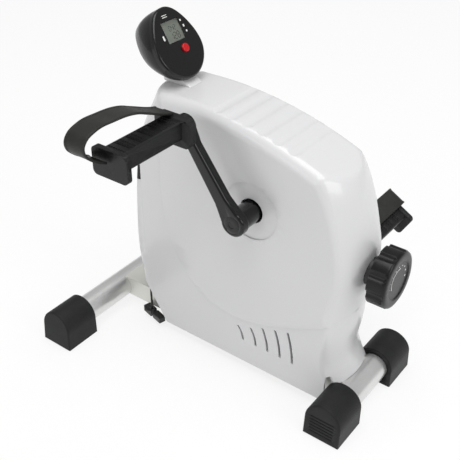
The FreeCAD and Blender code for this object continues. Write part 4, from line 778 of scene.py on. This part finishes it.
class EXERCISER_OT_marks(bpy.types.Operator):
    """Prints the plain white bars beside the display"""

    bl_idname = "exerciser.marks"
    bl_label = "Console marks"

    def execute(self, context):
        bpy.ops.object.select_all(action="DESELECT")
        bpy.ops.mesh.primitive_plane_add(size=1.0)
        bar = added("mark_bar")
        modify(bar, "BEVEL", affect="VERTICES", width=0.2, segments=4)
        pick_faces(bar, lambda face: True)
        bpy.ops.mesh.extrude_region_move(TRANSFORM_OT_translate={"value": (0, 0, 1.0)})
        leave_edit()
        outward(bar)
        marks = []
        for u, v, wide, high in (
            (-20.0, -4.5, 2.6, 6.0),
            (18.6, 8.6, 2.4, 2.4),
            (20.2, 1.2, 2.4, 3.2),
            (21.4, -6.0, 2.4, 2.4),
            (-4.0, 18.2, 9.0, 0.8),
            (-4.0, 20.6, 9.0, 0.8),
        ):
            shape = Matrix.Diagonal((wide * MM, high * MM, 0.16 * MM, 1))
            place = Matrix.Translation((u * MM, v * MM, -0.04 * MM))
            marks.append(copy_to(bar, place @ shape, "mark_%d" % len(marks)))
        bpy.data.objects.remove(bar)
        printed = join(marks, "console_marks")
        settle(printed, pod_matrix())
        paint(printed, made_materials["printed_mark"])
        ride(printed, "base", "console_plastic")
        return {"FINISHED"}


class EXERCISER_OT_dial_scale(bpy.types.Operator):
    """Prints the white arc and its dots on the tension dial's face"""

    bl_idname = "exerciser.dial_scale"
    bl_label = "Dial scale"

    def execute(self, context):
        sizes = context.scene.exerciser_sizes
        centre = joint_place("tension_knob_turn")
        bpy.ops.object.select_all(action="DESELECT")
        bpy.ops.mesh.primitive_plane_add(
            size=1.0, location=(DIAL_FACE_X + 0.05 * MM, 0, centre.z + sizes.dial_arc)
        )
        arc = added("dial_scale")
        only(arc)
        arc.rotation_euler = (math.radians(90), 0, 0)
        arc.scale = (0.2 * MM, sizes.arc_width, 1.0)
        bpy.ops.object.transform_apply(location=True, rotation=True, scale=True)
        bpy.ops.object.mode_set(mode="EDIT")
        bpy.ops.mesh.select_all(action="SELECT")
        bpy.ops.mesh.spin(
            steps=64,
            angle=math.radians(130),
            center=(DIAL_FACE_X, 0, centre.z),
            axis=(1, 0, 0),
        )
        bpy.ops.object.mode_set(mode="OBJECT")
        # turned, the arc runs from 15 degrees past the top down the -Y side of the face, and the
        # dots go round the upper part of the face just outside it
        middle = Matrix.Translation((0, 0, centre.z))
        arc.data.transform(middle @ Matrix.Rotation(math.radians(115), 4, "X") @ middle.inverted())
        pieces = [arc]
        for count in range(9):
            turn = math.radians(-100 + 25 * count)
            out = sizes.dial_arc + 3.4 * MM
            bpy.ops.object.select_all(action="DESELECT")
            bpy.ops.mesh.primitive_cylinder_add(
                vertices=20,
                radius=(0.5 + 0.09 * count) * MM,
                depth=0.2 * MM,
                location=(DIAL_FACE_X + 0.05 * MM, out * math.sin(turn), centre.z + out * math.cos(turn)),
                rotation=(0, math.radians(90), 0),
            )
            dot = added("dial_dot_%d" % count)
            bpy.ops.object.transform_apply(location=True, rotation=True, scale=True)
            modify(dot, "BEVEL", width=0.06 * MM, segments=1)
            pieces.append(dot)
        scale = join(pieces, "dial_scale")
        outward(scale)
        paint(scale, made_materials["printed_mark"])
        ride(scale, "tension_control", "knob_plastic")
        return {"FINISHED"}


class EXERCISER_OT_crank_caps(bpy.types.Operator):
    """Models the black push-in caps over the crank bolts"""

    bl_idname = "exerciser.crank_caps"
    bl_label = "Crank caps"

    def execute(self, context):
        centre = joint_place("crank_spin")
        low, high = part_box("crank_bolts")
        caps = []
        for side, tip in ((-1, low.y - middle_y()), (1, high.y - middle_y())):
            face = side * CRANK_FACE_Y
            tip += side * 0.9 * MM
            bpy.ops.object.select_all(action="DESELECT")
            bpy.ops.mesh.primitive_cylinder_add(
                vertices=48,
                radius=11.2 * MM,
                depth=abs(tip - face),
                location=(centre.x, (tip + face) / 2, centre.z),
                rotation=(math.radians(-90 * side), 0, 0),
            )
            cap = added("crank_cap_%d" % side)
            bpy.ops.object.transform_apply(location=True, rotation=True, scale=True)
            pick_faces(cap, lambda face: side * face.normal.y > 0.9)
            bpy.ops.mesh.inset(thickness=2.6 * MM, depth=0.5 * MM)
            bpy.ops.mesh.inset(thickness=4.2 * MM, depth=0.0)
            bpy.ops.mesh.inset(thickness=0.6 * MM, depth=-0.9 * MM)
            leave_edit()
            modify(cap, "BEVEL", width=0.5 * MM, segments=3, angle_limit=math.radians(25))
            caps.append(cap)
        joined = join(caps, "crank_caps")
        outward(joined)
        smooth(joined, math.radians(35))
        paint(joined, made_materials["crank_paint"])
        ride(joined, "crankset", "crank_paint")
        return {"FINISHED"}


class EXERCISER_PT_panel(bpy.types.Panel):
    """Lists the steps that finish and dress the exerciser"""

    bl_idname = "EXERCISER_PT_panel"
    bl_label = "Pedal exerciser"
    bl_space_type = "VIEW_3D"
    bl_region_type = "UI"
    bl_category = "Exerciser"

    def draw(self, context):
        for group in (context.scene.exerciser_colours, context.scene.exerciser_sizes):
            column = self.layout.column()
            for name in group.__annotations__:
                column.prop(group, name)
        for step in STEPS:
            self.layout.operator(step.bl_idname)


STEPS = (
    EXERCISER_OT_stage,
    EXERCISER_OT_finishes,
    EXERCISER_OT_smooth_casts,
    EXERCISER_OT_straps,
    EXERCISER_OT_studs,
    EXERCISER_OT_digits,
    EXERCISER_OT_marks,
    EXERCISER_OT_dial_scale,
    EXERCISER_OT_crank_caps,
)
CLASSES = (ExerciserColours, ExerciserSizes) + STEPS + (EXERCISER_PT_panel,)


def register():
    for entry in CLASSES:
        bpy.utils.register_class(entry)
    bpy.types.Scene.exerciser_colours = PointerProperty(type=ExerciserColours)
    bpy.types.Scene.exerciser_sizes = PointerProperty(type=ExerciserSizes)


def unregister():
    del bpy.types.Scene.exerciser_colours
    del bpy.types.Scene.exerciser_sizes
    for entry in reversed(CLASSES):
        bpy.utils.unregister_class(entry)


def main():
    """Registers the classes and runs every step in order."""
    register()
    bpy.ops.exerciser.stage()
    bpy.ops.exerciser.finishes()
    bpy.ops.exerciser.smooth_casts()
    bpy.ops.exerciser.straps()
    bpy.ops.exerciser.studs()
    bpy.ops.exerciser.digits()
    bpy.ops.exerciser.marks()
    bpy.ops.exerciser.dial_scale()
    bpy.ops.exerciser.crank_caps()


if __name__ == "__main__":
    main()
